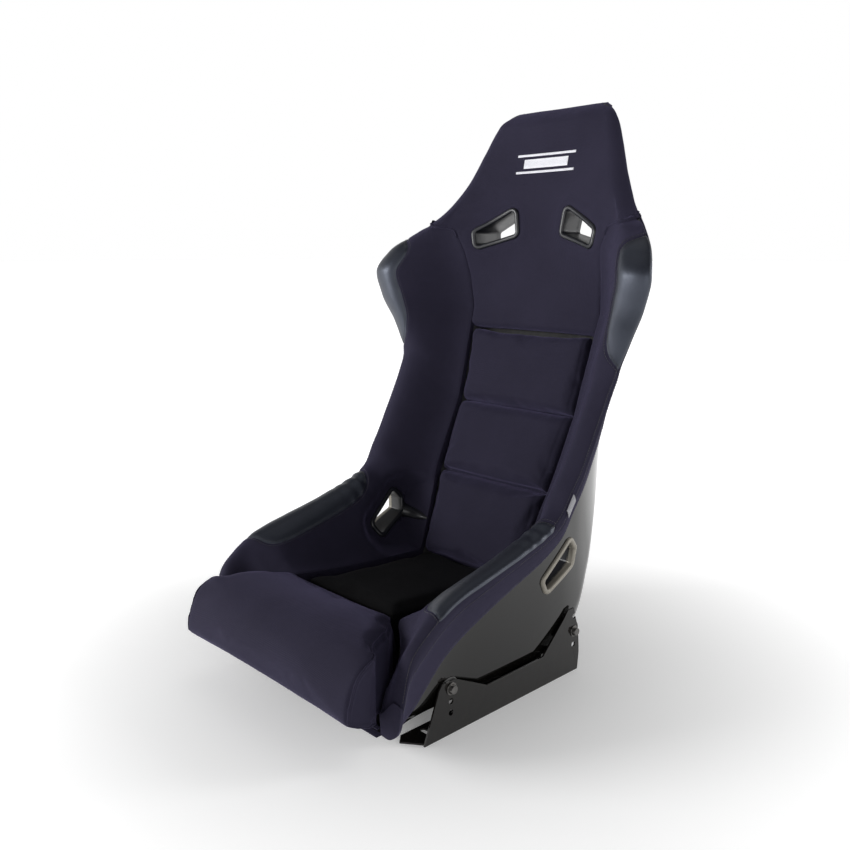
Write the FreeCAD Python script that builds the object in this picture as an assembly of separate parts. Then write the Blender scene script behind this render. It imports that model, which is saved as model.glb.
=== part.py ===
"""Fixed-back racing seat on two side brackets.

Frame: millimetres, +Z up, the seat faces -Y, +X is the sitter's left-hand side.
The origin lies on the floor, in the middle of the floor bolt pattern of the two brackets.

The bucket is described by stations along its length, from the front lip (station 0), under
the pelvis and up the back to the top of the head section (station 23). Each station is a plane
that holds the X direction, a spine point (outside of the shell, on the centre line) and a
ridge point (top of the bolster). Inside a station x runs outwards and h runs from spine to ridge.
"""
import FreeCAD, Part
import math
import os

V = FreeCAD.Vector
os.makedirs("parts", exist_ok=True)

# ---------------------------------------------------------------- driving dimensions
SHELL_T = 4.0            # laminate thickness
SKIN_T = 2.0             # fabric or leather with its scrim
GAP = 1.0                # clearance between neighbouring pieces
RIM_DROP = 15.0          # shell rim below the bolster ridge
FOAM_GAP = 4.5           # foam to its cover
FOAM_TO_SHELL = 5.0      # foam to the inside of the shell
SEAM_MARGIN = 6.5        # least distance of the seam from the outer edge
GUSSET_W = 30.0          # width of the fabric band round the rim
PAD_T = 28.0             # thickness of the back cushions
PAD_GAP = 1.0            # joint between two back cushions
PULL = (-0.933, 0.360)   # (y, z) direction in which the back cushions pull off
STRIP_T = 1.2            # hook or loop strip
LAST = 23                # last station
SHOULDERS = (15, 20)     # stations between which the sections change fastest

# spine y, spine z, ridge y, ridge z: side view of the shell and of the bolster top
SIDE_VIEW = [
    (-236, 34, -240, 96),
    (-222, 35, -230, 154),
    (-194, 36, -198, 188),
    (-143, 35, -143, 217),
    (-70, 30, -65, 237),
    (10, 25, 5, 256),
    (90, 22, 60, 275),
    (160, 26, 92, 296),
    (215, 50, 112, 330),
    (248, 100, 130, 358),
    (263, 170, 148, 392),
    (272, 250, 168, 430),
    (284, 340, 188, 470),
    (303, 430, 202, 512),
    (322, 515, 198, 560),
    (338, 585, 187, 610),
    (349, 650, 182, 654),
    (357, 700, 203, 692),
    (363, 745, 243, 730),
    (368, 785, 275, 765),
    (373, 835, 304, 815),
    (377, 882, 324, 872),
    (378, 922, 338, 914),
    (373, 949, 349, 943),
]

# values at chosen stations; the stations between follow a smooth monotone curve
OUTER_X = {0: 238, 1: 243, 2: 244, 4: 240, 7: 241, 9: 245, 12: 247, 13: 250, 14: 265,
           15: 289, 16: 306, 17: 296, 18: 258, 19: 216, 20: 183, 21: 158, 22: 137, 23: 105}
SEAM_X = {0: 192, 1: 190, 2: 182, 3: 128, 4: 116, 5: 112, 6: 113, 7: 115, 8: 121, 9: 129, 10: 135,
          12: 137, 13: 140, 15: 148, 16: 152, 17: 158, 18: 176, 19: 214, 23: 110}
WALL_X = {0: 228, 1: 219, 2: 211, 3: 208, 8: 208, 11: 213, 12: 216, 13: 220, 14: 227, 15: 239,
          16: 248, 17: 238, 18: 215, 19: 188, 20: 160, 21: 138, 22: 120, 23: 95}
CORNER_R = {0: 50, 6: 52, 7: 62, 8: 80, 9: 100, 12: 105, 13: 118, 14: 130, 16: 130, 17: 100,
            18: 70, 19: 50, 20: 36, 22: 24, 23: 14}
RIDGE_INSET = {0: 16, 3: 28, 8: 26, 12: 23, 14: 30, 16: 36, 17: 32, 18: 22, 19: 2, 23: 2}

# (y, z) line of the seam between the side covers and the cushions
SEAM_LINE = [(-260, 40), (-240, 62), (-225, 100), (-180, 150), (-148, 158), (125, 142), (187, 289),
             (249, 415), (289, 550), (300, 590), (294, 648), (279, 700), (274, 735),
             (280, 765), (302, 812), (324, 873), (338.5, 923), (348, 940), (350, 960)]
# (y, z) line of the front surface on the centre line, above the back cushions
CENTRE_LINE = [(296, 530), (301, 560), (310, 650), (318, 725), (320, 760), (323, 813), (329, 850),
               (338, 920), (348, 940), (349, 960)]

# (y, z) front corners of the back cushions, from the base upwards, with the half widths there
CREASES = [(125, 142), (187, 289), (249, 415), (289, 550)]
CREASE_HALF_W = [110, 129, 133, 139]
BACK_CUSHIONS = ["back_cushion_lower", "back_cushion_middle", "back_cushion_upper"]

# base cushion and thigh cushion side views
BASE_TOP_Z = (158, 142)
BASE_FRONT_Y = -145
BASE_BOTTOM_Z = 96
BASE_HALF_W = 108
THIGH_SIDE = [(-246, 56), (-312, 74), (-318, 84), (-306, 134), (-290, 155), (-258, 170), (-225, 178),
              (-185, 172), (-148, 161), (-148, 56)]
THIGH_PLAN = [(214, -320), (214, -247), (178, -247), (176, -225), (166, -195), (116, -147)]
FRONT_FOAM_TOP = 52.6

# lap-belt slot, side view (y, z), and shoulder slot, front view (x, z): outlines of the bezels
LAP_SLOT = [(129, 252), (153, 226), (150, 192), (79, 157), (58, 189)]
SHOULDER_SLOT = [(54, 781), (45, 720), (138, 694), (146, 734)]
BEZEL_W = 9.0            # visible width of a bezel
BEZEL_T = 4.0            # its height above the surface
SLEEVE_T = 2.0           # sleeve through the foam
BEZEL_CORNER_R = 14.0

# side brackets
BRACKET_INNER_X = 214.0
BRACKET_T = 3.0
BRACKET_SIDE = [(-178, 0), (-149, 76), (-143, 84), (-116, 84), (-48, 50), (85, 51), (138, 101),
                (148, 113), (164, 113), (178, 67), (181, 31), (178, 0)]
FLANGE_PLAN = [(178, -190), (184, -197), (217, -172), (217, 178), (172, 178), (172, -184)]
FLOOR_BOLT_X = 191.0
FLOOR_BOLT_Y = 150.0
FLOOR_SLOT_W = 9.0
FLOOR_SLOT_L = 22.0
M8_CLEARANCE_R = 4.5
MOUNT_POINTS = [(-125, 72), (165, 72)]        # (y, z), 290 mm apart
SPARE_HOLES = [(-125, 52), (-125, 34), (165, 98), (165, 48)]

# fasteners, along X from the bracket outwards
BOSS_R = 17.0
BOSS_INNER_X = 184.0
BOSS_FACE_X = 213.6
INSERT_R = 8.0
INSERT_BORE_R = 4.1
WASHER_R = 9.5
WASHER_T = 1.6
BOLT_R = 3.9
BOLT_HEAD_H = 5.3
BOLT_HEAD_AF = 13.0
BOLT_TIP_X = 192.0


# ---------------------------------------------------------------- small helpers
def rail(values):
    """Monotone cubic curve through {station: value}."""
    xs = sorted(values)
    ys = [values[x] for x in xs]
    steps = [b - a for a, b in zip(xs, xs[1:])]
    slopes = [(ys[i + 1] - ys[i]) / steps[i] for i in range(len(steps))]
    tangents = [slopes[0]]
    for a, b in zip(slopes, slopes[1:]):
        tangents.append(2 * a * b / (a + b) if a * b > 0 else 0.0)
    tangents.append(slopes[-1])

    def value(u):
        i = 0
        while i < len(steps) - 1 and u > xs[i + 1]:
            i += 1
        t = (u - xs[i]) / steps[i]
        return ((2 * t**3 - 3 * t**2 + 1) * ys[i] + (t**3 - 2 * t**2 + t) * steps[i] * tangents[i]
                + (3 * t**2 - 2 * t**3) * ys[i + 1] + (t**3 - t**2) * steps[i] * tangents[i + 1])
    return value


def side_rail(column):
    return rail({u: row[column] for u, row in enumerate(SIDE_VIEW)})


SPINE_Y, SPINE_Z, RIDGE_Y, RIDGE_Z = [side_rail(column) for column in range(4)]
OUTER, SEAM, WALL, CORNER, INSET = [rail(v) for v in (OUTER_X, SEAM_X, WALL_X, CORNER_R, RIDGE_INSET)]


class Station:
    """One cross-section plane of the bucket."""

    def __init__(self, u):
        self.spine = (SPINE_Y(u), SPINE_Z(u))
        ridge = (RIDGE_Y(u), RIDGE_Z(u))
        self.height = math.dist(self.spine, ridge)
        self.up = ((ridge[0] - self.spine[0]) / self.height, (ridge[1] - self.spine[1]) / self.height)
        self.outer = OUTER(u)
        self.seam = min(SEAM(u), self.outer - SEAM_MARGIN)
        self.wall = WALL(u)
        self.rim = self.height - min(RIM_DROP, 0.2 * self.height)
        self.rim_x = self.outer - 3.5
        self.corner = min(CORNER(u), 0.7 * self.rim)
        self.inset = INSET(u)
        self.edge_h = self.height - 0.45 * self.inset
        self.seam_h = min(self.crossing(SEAM_LINE), self.height - 1)

    def at(self, x, h):
        return V(x, self.spine[0] + self.up[0] * h, self.spine[1] + self.up[1] * h)

    def crossing(self, line):
        """Height at which this plane first crosses a (y, z) line."""
        found = []
        for (y0, z0), (y1, z1) in zip(line, line[1:]):
            dy, dz = y1 - y0, z1 - z0
            det = self.up[1] * dy - self.up[0] * dz
            if abs(det) < 1e-9:
                continue
            ry, rz = y0 - self.spine[0], z0 - self.spine[1]
            h = (rz * dy - ry * dz) / det
            along = (self.up[0] * rz - self.up[1] * ry) / det
            if -1e-6 <= along <= 1 + 1e-6 and 0 < h <= self.height + 5:
                found.append(h)
        return min(found) if found else self.height

    def wall_x(self, h, offset=0.0):
        """Outside half width of the shell at height h."""
        if h >= self.corner:
            share = (h - self.corner) / (self.rim - self.corner)
            return self.wall + (self.rim_x - self.wall) * share + offset
        poles = self.corner_poles(offset)
        return casteljau(poles, share_at(poles, 1, h))[-1][0][0]

    def corner_poles(self, offset):
        """Poles of the shell's corner, from the floor to the wall."""
        run = (self.rim_x - self.wall, self.rim - self.corner)
        size = math.hypot(*run)
        start = (self.wall - self.corner, -offset)
        end = (self.wall + offset, self.corner)
        pull = 0.55 * self.corner
        return [start, (start[0] + pull, start[1]),
                (end[0] - run[0] / size * pull, end[1] - run[1] / size * pull), end]

    def floor_h(self, x):
        """Height of the inside of the shell at half width x, with clearance."""
        poles = self.corner_poles(-SHELL_T - FOAM_TO_SHELL)
        return casteljau(poles, share_at(poles, 0, x))[-1][0][1]


def line(a, b):
    return Part.LineSegment(a, b).toShape()


def bezier(points):
    curve = Part.BezierCurve()
    curve.setPoles(points)
    return curve.toShape()


def polygon(points):
    return Part.Wire([line(a, b) for a, b in zip(points, points[1:] + points[:1])])


def prism(points, direction):
    return Part.Face(polygon(points)).extrude(direction)


def loft(section, stations):
    """Closed solid through the wires that section(station) gives."""
    wires = [section(Station(u)) for u in stations]
    return Part.makeLoft(wires, True, False)


def stations(first, last):
    """Half stations, or quarters at the shoulders, with a close neighbour of each end."""
    steps = [k / 4 for k in range(4 * LAST + 1) if k % 2 == 0 or SHOULDERS[0] < k / 4 < SHOULDERS[1]]
    inner = [u for u in steps if first + 0.3 < u < last - 0.3]
    return [first, first + 0.2, *inner, last - 0.2, last]


def casteljau(poles, t):
    """Levels of the de Casteljau scheme of a plane Bezier curve."""
    levels = [poles]
    while len(levels[-1]) > 1:
        last = levels[-1]
        levels.append([(a[0] + (b[0] - a[0]) * t, a[1] + (b[1] - a[1]) * t) for a, b in zip(last, last[1:])])
    return levels


def share_at(poles, axis, value):
    """Parameter at which a curve that rises along an axis reaches a value."""
    low, high = 0.0, 1.0
    for _ in range(40):
        middle = (low + high) / 2
        if casteljau(poles, middle)[-1][0][axis] < value:
            low = middle
        else:
            high = middle
    return high


def mirrored(shape):
    return shape.mirror(V(0, 0, 0), V(1, 0, 0))


def save(name, *pieces):
    solids = [solid for piece in pieces for solid in piece.Solids]
    shape = solids[0] if len(solids) == 1 else Part.makeCompound(solids)
    shape.exportStep(f"parts/{name}.step")
    print(f"{name:30s} solids {len(solids)} faces {len(shape.Faces):4d} "
          f"volume {shape.Volume / 1000:9.2f} cm3 valid {shape.isValid()}")


def save_pair(name, shape):
    save(name + "_left", shape)
    save(name + "_right", mirrored(shape))


def inset(points, distance):
    """Polygon with every side moved inwards."""
    area = sum(a[0] * b[1] - b[0] * a[1] for a, b in zip(points, points[1:] + points[:1]))
    turn = math.copysign(1, area)
    sides = []
    for (x0, y0), (x1, y1) in zip(points, points[1:] + points[:1]):
        size = math.dist((x0, y0), (x1, y1)) * turn
        nx, ny = (y0 - y1) / size, (x1 - x0) / size
        sides.append((nx, ny, nx * x0 + ny * y0 + distance))
    corners = []
    for (a, b, c), (d, e, f) in zip(sides[-1:] + sides[:-1], sides):
        det = a * e - b * d
        corners.append(((c * e - b * f) / det, (a * f - c * d) / det))
    return corners


def rounded(points, radius, to_space):
    """Closed wire round a convex polygon, with arcs at its corners."""
    edges = []
    ends = []
    for before, corner, after in zip(points[-1:] + points[:-1], points, points[1:] + points[:1]):
        arms = []
        for other in (before, after):
            size = math.dist(corner, other)
            arms.append(((other[0] - corner[0]) / size, (other[1] - corner[1]) / size))
        half = 0.5 * math.acos(max(-1, min(1, arms[0][0] * arms[1][0] + arms[0][1] * arms[1][1])))
        reach = radius / math.tan(half)
        middle = (arms[0][0] + arms[1][0], arms[0][1] + arms[1][1])
        size = math.hypot(*middle)
        depth = radius / math.sin(half) - radius
        start, end = [(corner[0] + a * reach, corner[1] + b * reach) for a, b in arms]
        top = (corner[0] + middle[0] / size * depth, corner[1] + middle[1] / size * depth)
        ends.append((start, top, end))
    for i, (start, top, end) in enumerate(ends):
        edges.append(line(to_space(ends[i - 1][2]), to_space(start)))
        edges.append(Part.Arc(to_space(start), to_space(top), to_space(end)).toShape())
    return Part.Wire(edges)


def slot_prism(outline, shrink, to_space, direction):
    """Prism of a slot outline moved inwards by shrink."""
    wire = rounded(inset(outline, shrink), BEZEL_CORNER_R - shrink, to_space)
    return Part.Face(wire).extrude(direction)


# ---------------------------------------------------------------- station sections
def shell_section(outside, inside):
    """Section of a layer of the shell between two offsets from its outer surface."""
    def section(st):
        edges = []
        ends = []
        for offset, sides in ((outside, (-1, 1)), (inside, (1, -1))):
            corner = st.corner_poles(offset)
            for leg, side in enumerate(sides):
                poles = [st.at(side * x, h) for x, h in corner]
                wall = [poles[3], st.at(side * (st.rim_x + offset), st.rim)]
                if leg == 0:
                    edges += [line(wall[1], wall[0]), bezier(poles[::-1])]
                    edges.append(line(poles[0], st.at(-side * corner[0][0], corner[0][1])))
                    ends.append(wall[1])
                else:
                    edges += [bezier(poles), line(wall[0], wall[1])]
                    ends.append(wall[1])
        edges.insert(5, line(ends[1], ends[2]))
        edges.append(line(ends[3], ends[0]))
        return Part.Wire(edges)
    return section


def roll_poles(st, offset):
    """Poles of the bolster surface: wall from the seam to the ridge, then the roll to the edge."""
    seam = (st.seam + 0.4 * abs(offset) * (offset < 0), st.seam_h + offset)
    ridge = (st.outer - st.inset, st.height + offset)
    edge = (st.outer + offset, st.edge_h)
    width = ridge[0] - seam[0]
    rise = ridge[1] - seam[1]
    wall = [seam, (seam[0] + 0.42 * width, seam[1] + 0.18 * rise),
            (ridge[0] - 0.34 * width, ridge[1] - 0.02 * rise), ridge]
    roll = [ridge, (ridge[0] + 0.6 * (edge[0] - ridge[0]), ridge[1]),
            (edge[0], edge[1] + 0.5 * (ridge[1] - edge[1])), edge]
    return wall, roll


def side_band(outside, inside):
    """Section of a layer of the bolster surface."""
    def section(st):
        wall, roll = [[st.at(x, h) for x, h in poles] for poles in roll_poles(st, outside)]
        wall2, roll2 = [[st.at(x, h) for x, h in poles] for poles in roll_poles(st, inside)]
        return Part.Wire([bezier(wall), bezier(roll), line(roll[3], roll2[3]), bezier(roll2[::-1]),
                          bezier(wall2[::-1]), line(wall2[0], wall[0])])
    return section


def bolster_section(offset):
    """Section of the bolster between the shell and a layer of its surface."""
    def section(st):
        wall, roll = roll_poles(st, offset)
        inner_x = st.seam + 2 * GAP
        wall[0] = (inner_x, wall[0][1])
        top_x = st.rim_x - SHELL_T - FOAM_TO_SHELL
        ridge_x, ridge_h = roll[0]
        fall = st.inset * (top_x - ridge_x) / (roll[3][0] - ridge_x)
        roll = [roll[0], (ridge_x + 0.55 * (top_x - ridge_x), ridge_h), (top_x, ridge_h - 0.2 * fall),
                (top_x, ridge_h - 0.42 * fall)]
        corner = st.corner_poles(-SHELL_T - FOAM_TO_SHELL)
        start = share_at(corner, 0, max(inner_x + 2, corner[0][0]))
        corner = [level[-1] for level in casteljau(corner, start)]
        wall, roll, corner = [[st.at(x, h) for x, h in poles] for poles in (wall, roll, corner)]
        rim_h = min(st.rim, ridge_h - 0.42 * fall - 1)
        rim = st.at(st.wall_x(rim_h, -SHELL_T - FOAM_TO_SHELL), rim_h)
        foot = st.at(inner_x, st.floor_h(inner_x))
        return Part.Wire([bezier(wall), bezier(roll), line(roll[3], rim), line(rim, corner[0]),
                          bezier(corner), line(corner[3], foot), line(foot, wall[0])])
    return section


def gusset_section(st):
    """Fabric band that wraps the rim, from the roll's edge down the outside of the shell."""
    low = st.edge_h - min(GUSSET_W, 0.35 * st.edge_h)
    middle = min(st.rim, st.edge_h - 4)
    profile = [(st.outer, st.edge_h - GAP), (st.wall_x(middle, GAP + SKIN_T), middle),
               (st.wall_x(low, GAP + SKIN_T), low)]
    inner = [(x - SKIN_T, h) for x, h in reversed(profile)]
    return polygon([st.at(x, h) for x, h in profile + inner])


def centre_poles(st, offset, half=math.inf):
    """Poles of the front surface between the two seams, a parabola dished on the centre line."""
    full = st.seam - GAP / 2
    half = min(half, full)
    middle = st.crossing(CENTRE_LINE) + offset
    edge = middle + (st.seam_h + offset - middle) * (half / full)**2
    pole = (4 * middle - edge) / 3
    return [(-half, edge), (-half / 3, pole), (half / 3, pole), (half, edge)]


def centre_band(outside, inside):
    """Section of a layer of the upper back and head surface."""
    def section(st):
        front = [st.at(x, h) for x, h in centre_poles(st, outside)]
        back = [st.at(x, h) for x, h in centre_poles(st, inside)]
        return Part.Wire([bezier(front), line(front[3], back[3]), bezier(back[::-1]), line(back[0], front[0])])
    return section


def centre_body(offset):
    """Section between the shell and a layer of the upper back and head surface."""
    def section(st):
        half = min(st.seam - 2 * GAP, st.wall_x(st.seam_h, -SHELL_T - FOAM_TO_SHELL))
        front = [st.at(x, h) for x, h in centre_poles(st, offset, half)]
        corner = st.corner_poles(-SHELL_T - FOAM_TO_SHELL)
        if half < corner[0][0] + 8:
            corner = [(half - share * 8, corner[0][1]) for share in (1, 0.67, 0.33, 0)]
        else:
            corner = [level[0] for level in casteljau(corner, share_at(corner, 0, half))]
        right = [st.at(x, h) for x, h in corner]
        left = [st.at(-x, h) for x, h in corner]
        return Part.Wire([bezier(front), line(front[3], right[3]), bezier(right[::-1]),
                          line(right[0], left[0]), bezier(left), line(left[3], front[0])])
    return section


def liner_section(front_line, side_gap):
    """Section of a foam liner between the shell and a (y, z) front line."""
    def section(st):
        half = st.seam - side_gap
        flat = min(st.wall - st.corner - GAP, half - 2)
        front = st.crossing(front_line)
        foot = min(st.floor_h(half), front - 2)
        points = [(-half, foot), (-flat, SHELL_T + GAP), (flat, SHELL_T + GAP), (half, foot),
                  (half, front), (-half, front)]
        return polygon([st.at(x, h) for x, h in points])
    return section


# ---------------------------------------------------------------- slots and bosses
def lap_point(p):
    return V(140, p[0], p[1])


def shoulder_point(p):
    return V(p[0], 200, p[1])


LAP_REACH = V(120, 0, 0)
SHOULDER_REACH = V(0, 200, 0)


def lap_prism(shrink):
    return slot_prism(LAP_SLOT, shrink, lap_point, LAP_REACH)


def shoulder_prism(shrink):
    return slot_prism(SHOULDER_SLOT, shrink, shoulder_point, SHOULDER_REACH)


def both(shape):
    return [shape, mirrored(shape)]


def mount_cylinders(radius, x0, x1):
    return [Part.makeCylinder(radius, x1 - x0, V(x0, y, z), V(1, 0, 0)) for y, z in MOUNT_POINTS]


CUT_SHRINK = BEZEL_W - SLEEVE_T - GAP
lap_cut = lap_prism(CUT_SHRINK)
shoulder_cut = shoulder_prism(CUT_SHRINK)


# ---------------------------------------------------------------- shell and mounts
def make_shell():
    shell = loft(shell_section(0, -SHELL_T), stations(0, LAST))
    bosses = mount_cylinders(BOSS_R, BOSS_INNER_X, BOSS_FACE_X)
    holes = mount_cylinders(INSERT_R + 0.1, BOSS_INNER_X - 1, BOSS_FACE_X + 1)
    for group in (bosses, holes):
        group += [mirrored(shape) for shape in group]
    shell = shell.fuse(bosses)
    return shell.cut(holes + both(lap_cut) + both(shoulder_cut))


def make_bracket():
    plate = prism([V(BRACKET_INNER_X, y, z) for y, z in BRACKET_SIDE], V(BRACKET_T, 0, 0))
    flange = prism([V(x, y, 0) for x, y in FLANGE_PLAN], V(0, 0, BRACKET_T))
    bracket = plate.fuse(flange).removeSplitter()
    for y, z in MOUNT_POINTS + SPARE_HOLES:
        bracket = bracket.cut(Part.makeCylinder(M8_CLEARANCE_R, 9, V(BRACKET_INNER_X - 3, y, z), V(1, 0, 0)))
    for y in (-FLOOR_BOLT_Y, FLOOR_BOLT_Y):
        bracket = bracket.cut(floor_slot(y))
    return bracket


def floor_slot(y):
    """Slot through the floor flange, long in X."""
    radius = FLOOR_SLOT_W / 2
    half = FLOOR_SLOT_L / 2 - radius
    ends = [FLOOR_BOLT_X - half, FLOOR_BOLT_X + half]
    slot = Part.makeBox(2 * half, FLOOR_SLOT_W, BRACKET_T + 2, V(ends[0], y - radius, -1))
    for x in ends:
        slot = slot.fuse(Part.makeCylinder(radius, BRACKET_T + 2, V(x, y, -1)))
    return slot.removeSplitter()


def make_bolts():
    head_x = BRACKET_INNER_X + BRACKET_T + WASHER_T + 0.2
    bolts = []
    for y, z in MOUNT_POINTS:
        corner_r = BOLT_HEAD_AF / 2 / math.cos(math.pi / 6)
        hexagon = [V(head_x, y + corner_r * math.cos(math.radians(60 * k)),
                     z + corner_r * math.sin(math.radians(60 * k))) for k in range(6)]
        head = prism(hexagon, V(BOLT_HEAD_H, 0, 0))
        crown = Part.makeCone(corner_r * 1.1, corner_r * 0.82, BOLT_HEAD_H, V(head_x, y, z), V(1, 0, 0))
        shank = Part.makeCylinder(BOLT_R, head_x - BOLT_TIP_X, V(BOLT_TIP_X, y, z), V(1, 0, 0))
        bolts.append(head.common(crown).fuse(shank))
    return bolts


def make_washers():
    x = BRACKET_INNER_X + BRACKET_T + 0.1
    return [Part.makeCylinder(WASHER_R, WASHER_T, V(x, y, z), V(1, 0, 0)).cut(
        Part.makeCylinder(M8_CLEARANCE_R, WASHER_T, V(x, y, z), V(1, 0, 0))) for y, z in MOUNT_POINTS]


def make_inserts():
    inner_x = BOSS_INNER_X + 2
    length = BOSS_FACE_X - inner_x
    return [Part.makeCylinder(INSERT_R, length, V(inner_x, y, z), V(1, 0, 0)).cut(
        Part.makeCylinder(INSERT_BORE_R, length, V(inner_x, y, z), V(1, 0, 0))) for y, z in MOUNT_POINTS]


# ---------------------------------------------------------------- bezels of the harness slots
def bezel(cutter, body, band):
    """Flange ring on a surface band with a sleeve through a body."""
    opening = cutter(BEZEL_W)
    sleeve = body.common(cutter(BEZEL_W - SLEEVE_T))
    flange = band.common(cutter(0))
    return sleeve.fuse(flange).cut(opening)


LAP_STATIONS = stations(4, 11)
SHOULDER_STATIONS = stations(15, 21)


def make_lap_inner():
    body = loft(bolster_section(BEZEL_T / 2), LAP_STATIONS)
    band = loft(side_band(BEZEL_T, GAP), LAP_STATIONS)
    return bezel(lap_prism, body, band)


def make_shoulder_front():
    body = loft(centre_body(BEZEL_T / 2), SHOULDER_STATIONS)
    band = loft(centre_band(BEZEL_T, GAP), SHOULDER_STATIONS)
    return bezel(shoulder_prism, body, band)


def make_outer_bezel(cutter, stations_used):
    body = loft(shell_section(BEZEL_T / 2, -SHELL_T), stations_used)
    band = loft(shell_section(BEZEL_T, GAP / 2), stations_used)
    return bezel(cutter, body, band)


# ---------------------------------------------------------------- foams
FOAM = -SKIN_T - FOAM_GAP
WAIST = 11.5             # station where the lower and upper bolster foams meet
BOLSTER_END = 17.8       # station where the bolster foam ends
HEAD_START = 14.4        # station just above the back cushions


def make_bolster_foams():
    """Lower and upper bolster foams, parted on the waist station."""
    foam = loft(bolster_section(FOAM), stations(0, BOLSTER_END))
    st = Station(WAIST)
    normal = V(0, -st.up[1], st.up[0])
    parting = prism([st.at(x, h) for x, h in ((50, -50), (400, -50), (400, 300), (50, 300))], normal * 1.0)
    pockets = mount_cylinders(BOSS_R + 1, BOSS_INNER_X - 3, BOSS_FACE_X)
    halves = foam.cut(pockets + [lap_cut, parting]).Solids
    return sorted(halves, key=lambda solid: solid.CenterOfMass.z)


def make_head_foam():
    foam = loft(centre_body(FOAM), stations(HEAD_START, LAST - 0.5))
    return foam.cut(both(shoulder_cut))


def behind_pads(depth):
    """Line of the back cushions moved back along the pull direction."""
    return [(y - PULL[0] * depth, z - PULL[1] * depth) for y, z in CREASES]


def make_back_foam():
    front = behind_pads(PAD_T + 2 * STRIP_T + 1.4)
    front = [(front[0][0] - 6, front[0][1] - 14)] + front + [(front[-1][0] + 14, front[-1][1] + 47)]
    return loft(liner_section(front, 2), stations(8.6, HEAD_START - 0.25))


def make_base_foam():
    level = [(-400, BASE_BOTTOM_Z - GAP), (400, BASE_BOTTOM_Z - GAP)]
    return loft(liner_section(level, 6), stations(3.2, 7.1))


def make_front_foam():
    level = [(-400, FRONT_FOAM_TOP), (400, FRONT_FOAM_TOP)]

    def section(st):
        half = 118
        top = st.crossing(level)
        return polygon([st.at(x, h) for x, h in ((-half, SHELL_T + GAP), (half, SHELL_T + GAP),
                                                 (half, top), (-half, top))])
    return loft(section, (0.6, 1, 1.5, 2, 2.5, 2.9))


# ---------------------------------------------------------------- cushions
def make_back_cushion(index):
    """Pad between two creases; its ends are parallel to the pull direction."""
    (y0, z0), (y1, z1) = CREASES[index], CREASES[index + 1]
    size = math.dist((y0, z0), (y1, z1))
    step = ((y1 - y0) / size * PAD_GAP / 2, (z1 - z0) / size * PAD_GAP / 2)
    ends = ((y0 + step[0], z0 + step[1], CREASE_HALF_W[index]),
            (y1 - step[0], z1 - step[1], CREASE_HALF_W[index + 1]))
    wires = []
    for y, z, half in ends:
        back_y = y - PULL[0] * PAD_T
        back_z = z - PULL[1] * PAD_T
        wires.append(polygon([V(-half, y, z), V(half, y, z), V(half - 6, back_y, back_z),
                              V(6 - half, back_y, back_z)]))
    return Part.makeLoft(wires, True, True)


def pad_strips(index, depth):
    """Two hook or loop strips behind a back cushion, at a depth along the pull direction."""
    (y0, z0), (y1, z1) = CREASES[index], CREASES[index + 1]
    strips = []
    for low_x in (-80, 40):
        corners = []
        for share, extra in ((0.25, 0), (0.75, 0), (0.75, STRIP_T), (0.25, STRIP_T)):
            y = y0 + (y1 - y0) * share - PULL[0] * (depth + extra)
            z = z0 + (z1 - z0) * share - PULL[1] * (depth + extra)
            corners.append(V(low_x, y, z))
        strips.append(prism(corners, V(40, 0, 0)))
    return strips


def make_base_cushion():
    rear_y, rear_z = CREASES[0]
    under = PAD_T - 2
    side = [(BASE_FRONT_Y, BASE_BOTTOM_Z), (BASE_FRONT_Y, BASE_TOP_Z[0]), (rear_y - 2, BASE_TOP_Z[1] - 0.5),
            (rear_y - PULL[0] * under, rear_z - PULL[1] * under - 1.5), (rear_y + 24, BASE_BOTTOM_Z)]
    return prism([V(-BASE_HALF_W, y, z) for y, z in side], V(2 * BASE_HALF_W, 0, 0))


def make_thigh_cushion():
    reach = 230
    side = prism([V(-reach, y, z) for y, z in THIGH_SIDE], V(2 * reach, 0, 0))
    outline = THIGH_PLAN + [(-x, y) for x, y in reversed(THIGH_PLAN)]
    return side.common(prism([V(x, y, 0) for x, y in outline], V(0, 0, 250)))


def thigh_strips(low_z):
    return [Part.makeBox(50, 60, STRIP_T, V(x, -218, low_z)) for x in (-90, 40)]


# ---------------------------------------------------------------- upholstery
SIDE_COVER_END = 18.5
# (y, z) outlines of the leather patches in side view; beyond the outer edge they run past the cover
THIGH_PATCH = [(-176, 160), (-140, 190), (-65, 210), (5, 229), (60, 248), (86, 262), (97, 275),
               (92, 330), (-200, 330), (-210, 185)]
WING_PATCH = [(247, 716), (218, 684), (196, 644), (197, 610), (208, 577), (210, 548), (209, 522),
              (150, 500), (140, 740), (240, 745)]


def make_side_skins():
    cover = loft(side_band(0, -SKIN_T), stations(0, SIDE_COVER_END))
    cover = cover.cut(lap_cut)
    skins = {}
    for name, outline in (("thigh_patch", THIGH_PATCH), ("shoulder_patch", WING_PATCH)):
        region = prism([V(100, y, z) for y, z in outline], V(300, 0, 0))
        skins[name] = cover.common(region)
        bigger = prism([V(100, y, z) for y, z in inset(outline, -GAP / 2)], V(300, 0, 0))
        cover = cover.cut(bigger)
    skins["side_cover"] = cover
    return skins


def largest(shape):
    return max(shape.Solids, key=lambda solid: solid.Volume)


def make_front_end_cover():
    """Fabric panel over the front end of a bolster."""
    st = Station(0)
    wall, roll = roll_poles(st, 0)
    low = st.edge_h - GUSSET_W
    wall, roll = [[st.at(x, h) for x, h in poles] for poles in (wall, roll)]
    turns = [roll[3], st.at(st.wall_x(low) + 2, low), st.at(st.wall_x(8), 4), st.at(st.seam, 0), wall[0]]
    wire = Part.Wire([bezier(wall), bezier(roll)] + [line(a, b) for a, b in zip(turns, turns[1:])])
    normal = V(0, -st.up[1], st.up[0])
    face = Part.Face(wire)
    face.translate(normal * GAP)
    return face.extrude(normal * SKIN_T)


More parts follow.
